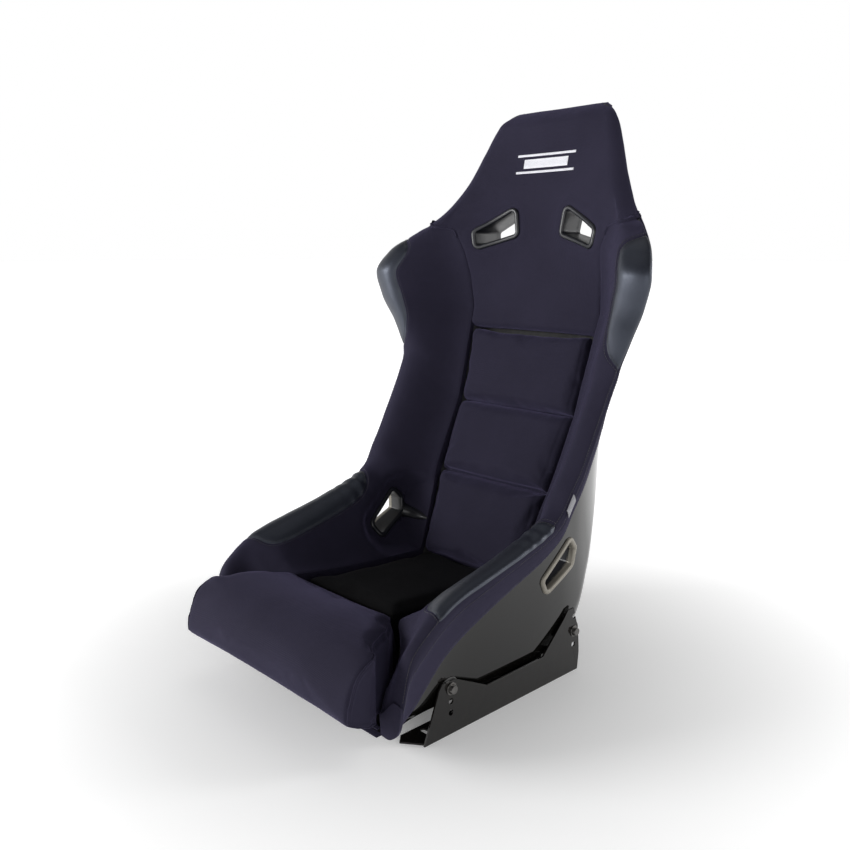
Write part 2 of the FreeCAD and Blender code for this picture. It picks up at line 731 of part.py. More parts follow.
def make_front_lip_cover():
    """Fabric binding on the front edge of the shell, between the bolsters."""
    st = Station(0)
    normal = V(0, -st.up[1], st.up[0])
    strip = prism([st.at(x, h) for x, h in ((-156, -2), (156, -2), (156, 8), (-156, 8))], normal * SKIN_T)
    strip.translate(normal * GAP)
    return strip


def make_head_top_cover():
    """Fabric panel that closes the top of the head section."""
    st = Station(LAST)
    half = st.outer - 2
    normal = V(0, -st.up[1], st.up[0])
    panel = prism([st.at(x, h) for x, h in ((-half, 0), (half, 0), (half, st.height), (-half, st.height))],
                  normal * -SKIN_T)
    panel.translate(normal * -GAP)
    return panel


# ---------------------------------------------------------------- marks
EMBLEM_BARS = [(834, 4, 66), (843, 16, 50), (864, 4, 66)]    # bottom z, height, half width


def make_emblem():
    """Plain bars on the head section: a broad one between two thin ones."""
    band = loft(centre_band(1.4, 0.4), (19, 20, 21, 22))
    bars = [Part.makeBox(2 * half, 60, height, V(-half, 300, z)) for z, height, half in EMBLEM_BARS]
    return [band.common(bar) for bar in bars]


def make_side_tag():
    """Small blank label folded over the left gusset seam."""
    def section(st):
        return polygon([st.at(st.outer + x, st.edge_h - d) for x, d in ((0.8, 2), (0.8, 11), (1.8, 11), (1.8, 2))])
    return loft(section, (7.3, 7.7, 8.1))


# ---------------------------------------------------------------- assembly
def main():
    save("shell", make_shell())
    save("mount_inserts", *[s for shape in make_inserts() for s in both(shape)])
    save_pair("side_bracket", make_bracket())
    save("bracket_bolts", *[s for shape in make_bolts() for s in both(shape)])
    save("bracket_washers", *[s for shape in make_washers() for s in both(shape)])

    save_pair("lap_bezel_inner", make_lap_inner())
    save_pair("lap_bezel_outer", make_outer_bezel(lap_prism, LAP_STATIONS))
    save_pair("shoulder_bezel_front", make_shoulder_front())
    save_pair("shoulder_bezel_rear", make_outer_bezel(shoulder_prism, SHOULDER_STATIONS))

    lower_foam, upper_foam = make_bolster_foams()
    save_pair("lower_bolster_foam", lower_foam)
    save_pair("upper_bolster_foam", upper_foam)
    save("head_foam", make_head_foam())
    save("back_foam", make_back_foam())
    save("base_foam", make_base_foam())
    save("front_foam", make_front_foam())

    for index, name in enumerate(BACK_CUSHIONS):
        save(name, make_back_cushion(index))
        save(name + "_loop_strips", *pad_strips(index, PAD_T + 0.2))
    save("back_hook_strips", *[s for i in range(3) for s in pad_strips(i, PAD_T + STRIP_T + 0.6)])
    save("base_cushion", make_base_cushion())
    save("thigh_cushion", make_thigh_cushion())
    save("thigh_loop_strips", *thigh_strips(THIGH_SIDE[0][1] - STRIP_T - 0.1))
    save("thigh_hook_strips", *thigh_strips(THIGH_SIDE[0][1] - 2 * STRIP_T - 0.5))

    for name, shape in make_side_skins().items():
        save_pair(name, largest(shape))
    save_pair("edge_gusset", loft(gusset_section, stations(0, LAST)))
    save_pair("front_end_cover", make_front_end_cover())
    save("front_lip_cover", make_front_lip_cover())
    head_cover = loft(centre_band(0, -SKIN_T), stations(HEAD_START, LAST - 0.2))
    save("head_cover", head_cover.cut(both(shoulder_cut)))
    save("head_top_cover", make_head_top_cover())
    save("head_emblem", *make_emblem())
    save("side_tag", make_side_tag())


main()
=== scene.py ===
"""Looks of the fixed-back racing seat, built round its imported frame.

Shapes are worked out in millimetres and turned to metres when a mesh is made. The upholstery
follows the same stations as the bucket: a station is a plane that holds X, a spine point on the
outside of the shell and a ridge point on top of the bolster.
"""

import math

import bmesh
import bpy
import numpy as np
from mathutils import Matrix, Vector, noise
from mathutils.bvhtree import BVHTree


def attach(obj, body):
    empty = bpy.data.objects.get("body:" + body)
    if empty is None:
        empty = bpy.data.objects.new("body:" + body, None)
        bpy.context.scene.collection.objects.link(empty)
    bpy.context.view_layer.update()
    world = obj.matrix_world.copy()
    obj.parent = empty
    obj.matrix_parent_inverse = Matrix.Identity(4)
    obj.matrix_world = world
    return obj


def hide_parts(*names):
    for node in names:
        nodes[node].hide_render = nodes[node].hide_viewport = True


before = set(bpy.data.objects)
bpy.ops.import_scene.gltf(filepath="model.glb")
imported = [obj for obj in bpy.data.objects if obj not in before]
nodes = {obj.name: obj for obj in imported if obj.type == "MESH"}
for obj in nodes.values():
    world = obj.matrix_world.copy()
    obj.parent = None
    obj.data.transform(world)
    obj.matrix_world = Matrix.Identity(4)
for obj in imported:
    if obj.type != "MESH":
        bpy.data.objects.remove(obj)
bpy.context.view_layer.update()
scene = bpy.context.scene
MM = 0.001

# ---------------------------------------------------------------- bucket dimensions, millimetres
SHELL_T = 4.0
SKIN_T = 2.0
LAST = 23                # station at the top of the head section
HEAD_START = 14.4        # station of the head cover's lower edge
RUN_OUT = (18.0, 19.0)   # stations between which the head seam runs out to the hem
TOP_FOLD = 22.3          # station from which the top folds back to the shell
# stations in the side view: (spine y, spine z, ridge y, ridge z)
SIDE_VIEW = [
    (-236, 34, -240, 96), (-222, 35, -230, 154), (-194, 36, -198, 188), (-143, 35, -143, 217),
    (-70, 30, -65, 237), (10, 25, 5, 256), (90, 22, 60, 275), (160, 26, 92, 296),
    (215, 50, 112, 330), (248, 100, 130, 358), (263, 170, 148, 392), (272, 250, 168, 430),
    (284, 340, 188, 470), (303, 430, 202, 512), (322, 515, 198, 560), (338, 585, 187, 610),
    (349, 650, 182, 654), (357, 700, 203, 692), (363, 745, 243, 730), (368, 785, 275, 765),
    (373, 835, 304, 815), (377, 882, 324, 872), (378, 922, 338, 914), (373, 949, 349, 943)]
# half widths and sizes by station
OUTER_X = {0: 238, 1: 243, 2: 244, 4: 240, 7: 241, 9: 245, 12: 247, 13: 252, 14: 273,
           15: 300, 16: 313, 17: 298, 18: 258, 19: 216, 20: 183, 21: 158, 22: 138, 22.5: 127, 23: 102}
SEAM_X = {0: 192, 1: 190, 2: 182, 3: 128, 4: 116, 5: 112, 6: 113, 7: 115, 8: 121, 9: 129, 10: 135,
          12: 137, 13: 140, 15: 148, 16: 152, 17: 158, 18: 176, 18.6: 186, 23: 110}
WALL_X = {0: 228, 1: 219, 2: 211, 3: 208, 8: 208, 11: 213, 12: 216, 13: 220, 14: 227, 15: 239,
          16: 248, 17: 238, 18: 215, 19: 188, 20: 160, 21: 138, 22: 120, 23: 95}
CORNER_R = {0: 24, 1: 24, 3: 26, 6: 40, 7: 54, 8: 80, 9: 100, 12: 105, 13: 118, 14: 130, 16: 130, 17: 100,
            18: 70, 19: 50, 20: 36, 22: 24, 23: 14}
RIDGE_INSET = {0: 11, 3: 15, 6: 22, 8: 26, 12: 23, 14: 30, 16: 36, 17: 32, 18: 24, 19: 24, 21: 22,
               22: 20, 23: 12}
GUSSET_DROP = {0: 60, 1: 110, 2: 118, 3: 80, 4: 56, 5: 44, 7: 34, 9: 30, 23: 30}
ROLL_DROP = {0: 0.45, 17: 0.45, 19: 0.8, 23: 0.8}     # share of the inset by which the roll falls
SEAM_LINE = [(-260, 40), (-240, 62), (-225, 100), (-180, 150), (-148, 158), (125, 142), (187, 289),
             (249, 415), (289, 550), (300, 590), (294, 648), (279, 700), (274, 735),
             (280, 765), (302, 812), (324, 873), (338.5, 923), (348, 940), (350, 960)]
CENTRE_LINE = [(296, 530), (301, 560), (310, 650), (318, 725), (320, 760), (323, 813), (329, 850),
               (338, 920), (348, 940), (349, 960)]
CREASES = [(125, 142), (187, 289), (249, 415), (289, 550)]
LAP_SLOT = [(129, 252), (153, 226), (150, 192), (79, 157), (58, 189)]
SHOULDER_SLOT = [(54, 781), (45, 720), (138, 694), (146, 734)]
BEZEL_W = 9.0
BEZEL_CORNER_R = 14.0
# outlines of the leather patches: (distance to the edge seam, distance along the ridge)
THIGH_PATCH = [(-14, 133), (4, 135), (24, 141), (48, 152), (62, 169), (67, 199), (67, 240), (67, 285),
               (67, 330), (63, 362), (50, 384), (28, 396), (0, 400), (-14, 401), (-16, 330), (-16, 265),
               (-16, 200)]
WING_PATCH = [(-14, 893), (2, 889), (22, 881), (44, 869), (60, 852), (67, 828), (67, 790), (66, 762),
              (58, 735), (43, 708), (30, 688), (18, 676), (4, 667), (-14, 658), (-16, 720), (-16, 780),
              (-16, 840)]
THIGH_SIDE = [(-246, 57), (-306, 73), (-316, 90), (-303, 136), (-284, 156), (-256, 168), (-222, 173),
              (-185, 169), (-150, 158), (-149, 57)]
EMBLEM_BARS = [(834, 4, 66), (843, 16, 50), (864, 4, 66)]     # (lower edge z, height, half width)
MOUNT_POINTS = [(-125, 72), (165, 72)]
LINE_STEP = 3.0          # spacing of the covers' grids
TUCK = 24.0              # how far a cover runs in behind a cushion
SHARP = math.radians(42)       # steeper edges are shaded sharp
SOFT_SHARP = math.radians(80)  # the same for cushions and foams
SWELL_FRAMES = 20
FOAM_GAP = 4.0           # least gap between a foam and the cover in front of it


# ---------------------------------------------------------------- camera, floor and light
def add_object(name, data):
    made = bpy.data.objects.new(name, data)
    scene.collection.objects.link(made)
    return made


def make_camera():
    azimuth, elevation = math.radians(46.5), math.radians(11.07)
    back = Vector((math.sin(azimuth) * math.cos(elevation), -math.cos(azimuth) * math.cos(elevation),
                   math.sin(elevation)))
    data = bpy.data.cameras.new("camera")
    data.sensor_width = 36
    data.lens = 37.46
    camera = add_object("camera", data)
    camera.location = (1.050, -0.968, 0.693)
    aim(camera, -back)
    scene.camera = camera


def aim(thing, direction):
    thing.rotation_mode = "QUATERNION"
    thing.rotation_quaternion = direction.to_track_quat("-Z", "Y")


def area_light(name, place, size, power):
    """Lamp that faces the middle of the seat."""
    data = bpy.data.lights.new(name, "AREA")
    data.shape = "RECTANGLE"
    data.size, data.size_y = size
    data.energy = power
    lamp = add_object(name, data)
    lamp.location = place
    aim(lamp, Vector((0, 0, 0.40)) - Vector(place))


def make_studio():
    area_light("key", (-1.9, -2.7, 1.25), (1.4, 1.1), 85)
    area_light("fill", (2.9, -1.6, 1.0), (1.0, 1.8), 12)
    area_light("rear", (2.0, 2.0, 1.3), (0.7, 1.8), 26)
    area_light("top", (-0.4, 0.4, 3.0), (2.0, 2.0), 5)
    scene.world = soft_world()
    scene.view_settings.view_transform = "Standard"
    mesh = bpy.data.meshes.new("floor")
    far = 60.0
    mesh.from_pydata([(-far, -far, 0), (far, -far, 0), (far, far, 0), (-far, far, 0)], [], [(0, 1, 2, 3)])
    floor = add_object("floor", mesh)
    mesh.materials.append(floor_material())


def soft_world():
    """White walls under a darker ceiling."""
    world = bpy.data.worlds.new("studio")
    world.use_nodes = True
    tree = world.node_tree
    place = tree.nodes.new("ShaderNodeTexCoord")
    split = tree.nodes.new("ShaderNodeSeparateXYZ")
    fade = tree.nodes.new("ShaderNodeMapRange")
    fade.interpolation_type = "SMOOTHSTEP"
    fade.inputs["From Min"].default_value = 0.36
    fade.inputs["From Max"].default_value = 0.55
    fade.inputs["To Min"].default_value = 1.0
    fade.inputs["To Max"].default_value = 0.05
    tree.links.new(place.outputs["Generated"], split.inputs[0])
    tree.links.new(split.outputs["Z"], fade.inputs["Value"])
    tree.links.new(fade.outputs[0], tree.nodes["Background"].inputs["Strength"])
    tree.nodes["Background"].inputs["Color"].default_value = (1, 1, 1, 1)
    return world


# ---------------------------------------------------------------- materials
class Shader:
    """A Principled material with a few shorthands for its node tree."""

    def __init__(self, name, colour, **inputs):
        self.material = bpy.data.materials.new(name)
        self.material.use_nodes = True
        self.tree = self.material.node_tree
        self.bsdf = self.tree.nodes["Principled BSDF"]
        self.set("Base Color", (*colour, 1))
        self.colour = colour
        for key, value in inputs.items():
            self.set(key.replace("_", " "), value)
        self.place = self.node("ShaderNodeTexCoord").outputs["Object"]

    def set(self, name, value):
        self.bsdf.inputs[name].default_value = value

    def node(self, kind, **settings):
        made = self.tree.nodes.new(kind)
        for key, value in settings.items():
            setattr(made, key, value)
        return made

    def link(self, source, target):
        self.tree.links.new(source, target)

    def texture(self, kind, scale, output=0, stretch=(1, 1, 1), **inputs):
        mapping = self.node("ShaderNodeMapping")
        mapping.inputs["Scale"].default_value = stretch
        self.link(self.place, mapping.inputs["Vector"])
        made = self.node(kind)
        self.link(mapping.outputs[0], made.inputs["Vector"])
        made.inputs["Scale"].default_value = scale
        for key, value in inputs.items():
            made.inputs[key].default_value = value
        return made.outputs[output]

    def noise(self, scale, detail=2.0, stretch=(1, 1, 1)):
        return self.texture("ShaderNodeTexNoise", scale, stretch=stretch, Detail=detail)

    def weave(self, pitch):
        """Height of a plain weave of two crossing wave bands, a pitch apart in metres."""
        heights = []
        for direction in ("X", "Y", "Z"):
            wave = self.node("ShaderNodeTexWave", bands_direction=direction)
            wave.inputs["Scale"].default_value = 0.314 / pitch
            wave.inputs["Distortion"].default_value = 0.6
            wave.inputs["Detail"].default_value = 1.0
            self.link(self.place, wave.inputs["Vector"])
            heights.append(wave.outputs["Fac"])
        first = self.math("ADD", heights[0], heights[1])
        return self.math("ADD", first, heights[2])

    def math(self, operation, a, b):
        made = self.node("ShaderNodeMath", operation=operation)
        for socket, value in zip(made.inputs, (a, b)):
            if isinstance(value, (int, float)):
                socket.default_value = value
            else:
                self.link(value, socket)
        return made.outputs[0]

    def ramp(self, source, low, high, into):
        """Maps a 0..1 source to a number between low and high for one input."""
        made = self.node("ShaderNodeMapRange")
        made.inputs["To Min"].default_value = low
        made.inputs["To Max"].default_value = high
        self.link(source, made.inputs["Value"])
        self.link(made.outputs[0], self.bsdf.inputs[into])

    def vary(self, source, dark, light):
        """Colour between two shades of the base colour."""
        made = self.node("ShaderNodeMix", data_type="RGBA")
        made.inputs["A"].default_value = (*[c * dark for c in self.colour], 1)
        made.inputs["B"].default_value = (*[c * light for c in self.colour], 1)
        self.link(source, made.inputs["Factor"])
        self.link(made.outputs["Result"], self.bsdf.inputs["Base Color"])

    def bump(self, *layers):
        """Bump layers of (height, strength, distance in metres), one on top of another."""
        normal = None
        for height, strength, distance in layers:
            made = self.node("ShaderNodeBump")
            made.inputs["Strength"].default_value = strength
            made.inputs["Distance"].default_value = distance
            self.link(height, made.inputs["Height"])
            if normal:
                self.link(normal, made.inputs["Normal"])
            normal = made.outputs[0]
        self.link(normal, self.bsdf.inputs["Normal"])
        return self.material


def fabric_material(name, colour, sheen, tint):
    made = Shader(name, colour, Roughness=0.82, Sheen_Weight=sheen, Sheen_Roughness=0.42,
                  Sheen_Tint=(*tint, 1), Specular_IOR_Level=0.10)
    fine = made.noise(1500, 3)
    shade = made.math("ADD", made.math("MULTIPLY", fine, 0.6), made.math("MULTIPLY", made.noise(9, 3), 0.5))
    made.vary(shade, 0.55, 1.4)
    return made.bump((made.weave(0.0011), 0.5, 0.00016), (fine, 0.35, 0.0002),
                     (made.noise(26, 2), 0.12, 0.002))


def leather_material(name, colour):
    made = Shader(name, colour, Specular_IOR_Level=0.65, Specular_Tint=(0.72, 0.80, 1, 1),
                  Coat_Weight=0.12, Coat_Roughness=0.35)
    grain = made.texture("ShaderNodeTexVoronoi", 720, output="Distance")
    made.vary(made.noise(16, 3), 0.75, 1.3)
    made.ramp(made.noise(60, 4), 0.36, 0.52, "Roughness")
    return made.bump((made.noise(38, 3), 0.25, 0.0016), (grain, 0.42, 0.00035),
                     (made.noise(1900, 2), 0.2, 0.0001))


def gloss_material(name, colour, roughness, ripple):
    """Gelcoat or paint: near-black base under a clear gloss with faint waviness."""
    made = Shader(name, colour, Roughness=roughness, Coat_Weight=0.35, Coat_Roughness=0.02,
                  Coat_IOR=1.45, Specular_IOR_Level=0.3)
    made.vary(made.noise(7, 4), 0.8, 1.5)
    made.ramp(made.noise(14, 5), roughness * 0.7, roughness * 1.7, "Roughness")
    return made.bump((made.noise(ripple, 2), 0.06, 0.004), (made.noise(900, 2), 0.05, 0.00006))


def moulded_material(name, colour, roughness, metallic=0.0):
    """Moulded plastic or raw laminate with a fine pebbled surface."""
    made = Shader(name, colour, Metallic=metallic, Specular_IOR_Level=0.5)
    made.vary(made.noise(45, 3), 0.85, 1.2)
    made.ramp(made.noise(110, 4), roughness * 0.85, roughness * 1.25, "Roughness")
    return made.bump((made.noise(2600, 2), 0.3, 0.00008), (made.noise(60, 2), 0.08, 0.0008))


def steel_material():
    made = Shader("zinc_steel", (0.16, 0.155, 0.15), Metallic=1.0)
    made.vary(made.noise(160, 4), 0.7, 1.3)
    made.ramp(made.noise(420, 5), 0.24, 0.46, "Roughness")
    return made.bump((made.noise(1400, 3, (1, 1, 0.15)), 0.25, 0.0001))


def foam_material():
    made = Shader("open_cell_foam", (0.035, 0.035, 0.038), Roughness=0.95)
    cells = made.texture("ShaderNodeTexVoronoi", 650, output="Distance")
    made.vary(cells, 0.5, 1.5)
    return made.bump((cells, 0.8, 0.0006), (made.noise(40, 2), 0.3, 0.002))


def loop_material():
    made = Shader("loop_pile", (0.008, 0.008, 0.009), Roughness=0.95, Sheen_Weight=0.5)
    pile = made.noise(1700, 5)
    made.vary(pile, 0.5, 2.0)
    return made.bump((pile, 0.9, 0.0008))


def thread_material(name, colour):
    made = Shader(name, colour, Roughness=0.5, Sheen_Weight=0.3)
    strand = made.node("ShaderNodeTexWave", bands_direction="DIAGONAL")
    strand.inputs["Scale"].default_value = 700
    made.link(made.place, strand.inputs["Vector"])
    made.vary(strand.outputs["Fac"], 0.75, 1.08)
    return made.bump((strand.outputs["Fac"], 0.4, 0.0001))


def floor_material():
    """Pale floor with painted light: it glows faintly near the seat and more brightly away from it, up to
    plain white.
    """
    made = Shader("pale_floor", (0.90, 0.90, 0.90), Roughness=0.7, Specular_IOR_Level=0.1,
                  Emission_Color=(1, 1, 1, 1))
    made.vary(made.noise(3, 4), 0.98, 1.02)
    # painted light: the floor's emission grows with distance from the seat, a glow that no lamp casts
    away = made.node("ShaderNodeVectorMath", operation="LENGTH")
    made.link(made.place, away.inputs[0])
    glow = made.node("ShaderNodeMapRange", interpolation_type="SMOOTHSTEP")
    glow.inputs["From Min"].default_value = 0.0
    glow.inputs["From Max"].default_value = 1.5
    glow.inputs["To Min"].default_value = 0.10
    made.link(away.outputs["Value"], glow.inputs["Value"])
    made.link(glow.outputs[0], made.bsdf.inputs["Emission Strength"])
    return made.bump((made.noise(180, 3), 0.05, 0.0004))


make_camera()
make_studio()
FABRIC = fabric_material("seat_cloth", (0.0162, 0.0145, 0.0275), 0.13, (0.60, 0.54, 1.0))
BASE_CLOTH = fabric_material("base_cloth", (0.0026, 0.0025, 0.0030), 0.01, (0.6, 0.6, 0.7))
LEATHER = leather_material("patch_leather", (0.0095, 0.0105, 0.0150))
SHELL = gloss_material("black_gelcoat", (0.0022, 0.0020, 0.0018), 0.06, 11)
LAMINATE = moulded_material("raw_laminate", (0.008, 0.008, 0.0085), 0.75)
PAINT = gloss_material("black_powder_paint", (0.0032, 0.0026, 0.0022), 0.10, 60)
STEEL = steel_material()
BLACK_BEZEL = moulded_material("black_plastic", (0.006, 0.0066, 0.0095), 0.36)
SATIN_BEZEL = moulded_material("satin_plastic", (0.21, 0.195, 0.165), 0.42, 0.35)
FOAM = foam_material()
LOOP = loop_material()
THREAD = thread_material("dark_thread", (0.010, 0.010, 0.013))
EMBLEM = thread_material("white_thread", (0.88, 0.88, 0.92))
TAG = thread_material("tag_cloth", (0.22, 0.22, 0.24))


# ---------------------------------------------------------------- stations
def rail(values):
    """Monotone cubic curve through {station: value}."""
    xs = sorted(values)
    ys = [values[x] for x in xs]
    steps = [b - a for a, b in zip(xs, xs[1:])]
    slopes = [(ys[i + 1] - ys[i]) / steps[i] for i in range(len(steps))]
    tangents = [slopes[0]]
    for a, b in zip(slopes, slopes[1:]):
        tangents.append(2 * a * b / (a + b) if a * b > 0 else 0.0)
    tangents.append(slopes[-1])

    def value(u):
        i = 0
        while i < len(steps) - 1 and u > xs[i + 1]:
            i += 1
        t = (u - xs[i]) / steps[i]
        return ((2 * t**3 - 3 * t**2 + 1) * ys[i] + (t**3 - 2 * t**2 + t) * steps[i] * tangents[i]
                + (3 * t**2 - 2 * t**3) * ys[i + 1] + (t**3 - t**2) * steps[i] * tangents[i + 1])
    return value


SPINE_Y, SPINE_Z, RIDGE_Y, RIDGE_Z = [rail({u: row[k] for u, row in enumerate(SIDE_VIEW)}) for k in range(4)]
OUTER, SEAM, WALL, CORNER, INSET, DROP, BAND = [
    rail(v) for v in (OUTER_X, SEAM_X, WALL_X, CORNER_R, RIDGE_INSET, ROLL_DROP, GUSSET_DROP)]


def bezier(poles, count):
    """Points on a plane Bezier curve."""
    t = np.linspace(0, 1, count)[:, None]
    n = len(poles) - 1
    return sum(math.comb(n, k) * (1 - t)**(n - k) * t**k * np.array(poles[k], float) for k in range(n + 1))


def smoothstep(x):
    x = np.clip(x, 0, 1)
    return x * x * (3 - 2 * x)


class Station:
    """One cross-section plane of the bucket."""

    def __init__(self, u):
        self.spine = np.array((SPINE_Y(u), SPINE_Z(u)))
        ridge = np.array((RIDGE_Y(u), RIDGE_Z(u)))
        full = float(np.linalg.norm(ridge - self.spine))
        self.up = (ridge - self.spine) / full
        fold = math.sqrt(max(0.0, 1 - ((u - TOP_FOLD) / (LAST - TOP_FOLD))**2)) if u > TOP_FOLD else 1.0
        self.height = max(full * fold, 5.0)
        fold = self.height / full
        self.outer = OUTER(u)
        self.inset = INSET(u)
        self.seam = min(SEAM(u), self.outer - self.inset - 3)
        self.wall = WALL(u)
        self.rim = self.height - max(2.0, min(15.0, 0.2 * self.height))
        self.rim_x = self.outer - 3.5
        self.corner = min(CORNER(u), 0.7 * self.rim)
        self.edge_h = self.height - min(DROP(u) * self.inset, 0.35 * self.height)
        self.band = min(BAND(u), (0.35 + 0.55 * smoothstep((4 - u) / 2)) * self.edge_h)
        self.seam_h = min(self.crossing(SEAM_LINE, full), full - 1) * fold
        self.middle = self.crossing(CENTRE_LINE, full) * fold

    def at(self, section):
        """Space points of (x, h) section points."""
        section = np.asarray(section, float)
        yz = self.spine + section[:, 1:2] * self.up
        return np.column_stack((section[:, 0], yz))

    def crossing(self, line, height):
        """Height at which this plane first crosses a (y, z) line."""
        found = []
        for (y0, z0), (y1, z1) in zip(line, line[1:]):
            dy, dz = y1 - y0, z1 - z0
            det = self.up[1] * dy - self.up[0] * dz
            if abs(det) < 1e-9:
                continue
            ry, rz = y0 - self.spine[0], z0 - self.spine[1]
            h = (rz * dy - ry * dz) / det
            along = (self.up[0] * rz - self.up[1] * ry) / det
            if -1e-6 <= along <= 1 + 1e-6 and 0 < h <= height + 5:
                found.append(h)
        return min(found) if found else height

    def shell_half(self, offset=0.0):
        """Outside half section of the shell from the floor's middle to the rim."""
        run = np.array((self.rim_x - self.wall, self.rim - self.corner))
        run /= np.linalg.norm(run)
        start = np.array((self.wall - self.corner, -offset))
        end = np.array((self.wall + offset, self.corner))
        pull = 0.55 * self.corner
        corner = bezier([start, start + (pull, 0), end - run * pull, end], 24)
        return np.vstack(([(0, -offset)], corner, [(self.rim_x + offset, self.rim)]))

    def wall_x(self, h):
        """Outside half width of the shell at heights h, carried on past the rim."""
        half = self.shell_half()[1:]
        slope = min(0.3, (half[-1][0] - half[-2][0]) / max(half[-1][1] - half[-2][1], 1e-6))
        inside = np.interp(h, half[:, 1], half[:, 0])
        return np.where(h > self.rim, half[-1][0] + (h - self.rim) * slope, inside)

    def upholstery(self):
        """Half section of the covers from the centre to the hem, its arc lengths, and those of its
        crease seam, edge seam and hem."""
        x = np.linspace(0, self.seam, 40)
        centre = np.column_stack((x, self.middle + (self.seam_h - self.middle) * (x / self.seam)**2))
        seam = np.array((self.seam, self.seam_h))
        ridge = np.array((self.outer - self.inset, self.height))
        edge = np.array((self.outer, self.edge_h))
        width, rise = ridge - seam
        wall = bezier([seam, seam + (0.42 * width, 0.18 * rise),
                       ridge - (0.34 * width, 0.02 * rise), ridge], 40)
        roll = bezier([ridge, ridge + (0.6 * (edge[0] - ridge[0]), 0),
                       (edge[0], edge[1] + 0.5 * (ridge[1] - edge[1])), edge], 24)
        drop = np.linspace(0, self.band, 14)
        h = self.edge_h - drop
        share = drop / drop[-1]
        clear = 3.0 + 1.2 * np.sin(share * math.pi) - 1.2 * share**6
        near_wall = smoothstep(share * 3)
        gusset_x = (self.wall_x(h) + clear) * near_wall + self.outer * (1 - near_wall)
        gusset = np.column_stack((gusset_x, h))
        line = np.vstack((centre, wall[1:], roll[1:], gusset[1:]))
        lengths = arc_lengths(line)
        counts = np.cumsum([len(centre), len(wall) - 1, len(roll) - 1, len(gusset) - 1])
        return line, lengths, lengths[counts[0] - 1], lengths[counts[2] - 1], lengths[-1]


def arc_lengths(points):
    return np.concatenate(([0], np.cumsum(np.linalg.norm(np.diff(points, axis=0), axis=1))))


def along_line(points, lengths, wanted):
    """Points of a polyline at wanted arc lengths."""
    return np.column_stack([np.interp(wanted, lengths, column) for column in points.T])


def resample(points, count):
    """Points spaced evenly by arc length along a polyline."""
    lengths = arc_lengths(points)
    return along_line(points, lengths, np.linspace(0, lengths[-1], count))


def ridge_lengths(stations):
    return arc_lengths(np.array([(RIDGE_Y(u), RIDGE_Z(u)) for u in stations]))


def even_stations(first, last, spacing):
    """Stations whose ridge points lie a spacing apart."""
    fine = np.linspace(first, last, 800)
    lengths = ridge_lengths(fine)
    count = max(3, int(lengths[-1] / spacing))
    return np.interp(np.linspace(0, lengths[-1], count), lengths, fine)


def seam_place(u, seam_s, hem_s):
    """Arc length of the head seam: on the crease, then running out to the hem."""
    share = smoothstep((u - RUN_OUT[0]) / (RUN_OUT[1] - RUN_OUT[0]))
    return seam_s + (hem_s - seam_s) * share


# ---------------------------------------------------------------- meshes
def new_piece(name, points, faces, material):
    """Object from points in millimetres."""
    mesh = bpy.data.meshes.new(name)
    mesh.from_pydata((np.asarray(points, float) * MM).tolist(), [], faces)
    piece = add_object(name, mesh)
    dress(piece, material)
    return piece


def dress(piece, material, sharp=SHARP):
    """Closed, outward, smooth-shaded mesh with one material."""
    mesh = piece.data
    form = bmesh.new()
    form.from_mesh(mesh)
    bmesh.ops.recalc_face_normals(form, faces=form.faces)
    form.to_mesh(mesh)
    form.free()
    mesh.materials.clear()
    mesh.materials.append(material)
    mesh.polygons.foreach_set("material_index", [0] * len(mesh.polygons))
    mesh.shade_smooth()
    mesh.set_sharp_from_angle(angle=sharp)
    mesh.update()


def mirror_piece(piece, name):
    """Copy of a piece mirrored in the plane x = 0."""
    mesh = piece.data.copy()
    mesh.name = name
    form = bmesh.new()
    form.from_mesh(mesh)
    for vertex in form.verts:
        vertex.co.x = -vertex.co.x
    bmesh.ops.reverse_faces(form, faces=form.faces)
    form.to_mesh(mesh)
    form.free()
    mesh.set_sharp_from_angle(angle=SHARP)
    return add_object(name, mesh)


def grid_normals(grid):
    along = np.gradient(grid, axis=0)
    across = np.gradient(grid, axis=1)
    normals = np.cross(across, along)
    sizes = np.linalg.norm(normals, axis=2, keepdims=True)
    return normals / np.maximum(sizes, 1e-9)


def ring_faces(rings, count, start=0, closed=False):
    """Faces between rings of points, with end caps unless the last ring meets the first."""
    faces = []
    for i in range(rings if closed else rings - 1):
        here, after = start + i * count, start + (i + 1) % rings * count
        faces += [(here + k, here + (k + 1) % count, after + (k + 1) % count, after + k)
                  for k in range(count)]
    if not closed:
        last = start + (rings - 1) * count
        faces += [tuple(range(start, start + count)), tuple(reversed(range(last, last + count)))]
    return faces


def grid_faces(rows, columns, start=0):
    return [(start + i * columns + j, start + i * columns + j + 1,
             start + (i + 1) * columns + j + 1, start + (i + 1) * columns + j)
            for i in range(rows - 1) for j in range(columns - 1)]


def raised(grid, height):
    """Grid moved out along its normals."""
    return grid + grid_normals(grid) * height[..., None]


def sheet(grid, marks=None):
    """Open surface of a grid: points, their normals and marks, and faces."""
    rows, columns = grid.shape[:2]
    normals = grid_normals(grid).reshape(-1, 3)
    extra = np.zeros((len(normals), 2)) if marks is None else marks.reshape(-1, 2)
    return grid.reshape(-1, 3).copy(), np.hstack((normals, extra)), grid_faces(rows, columns)


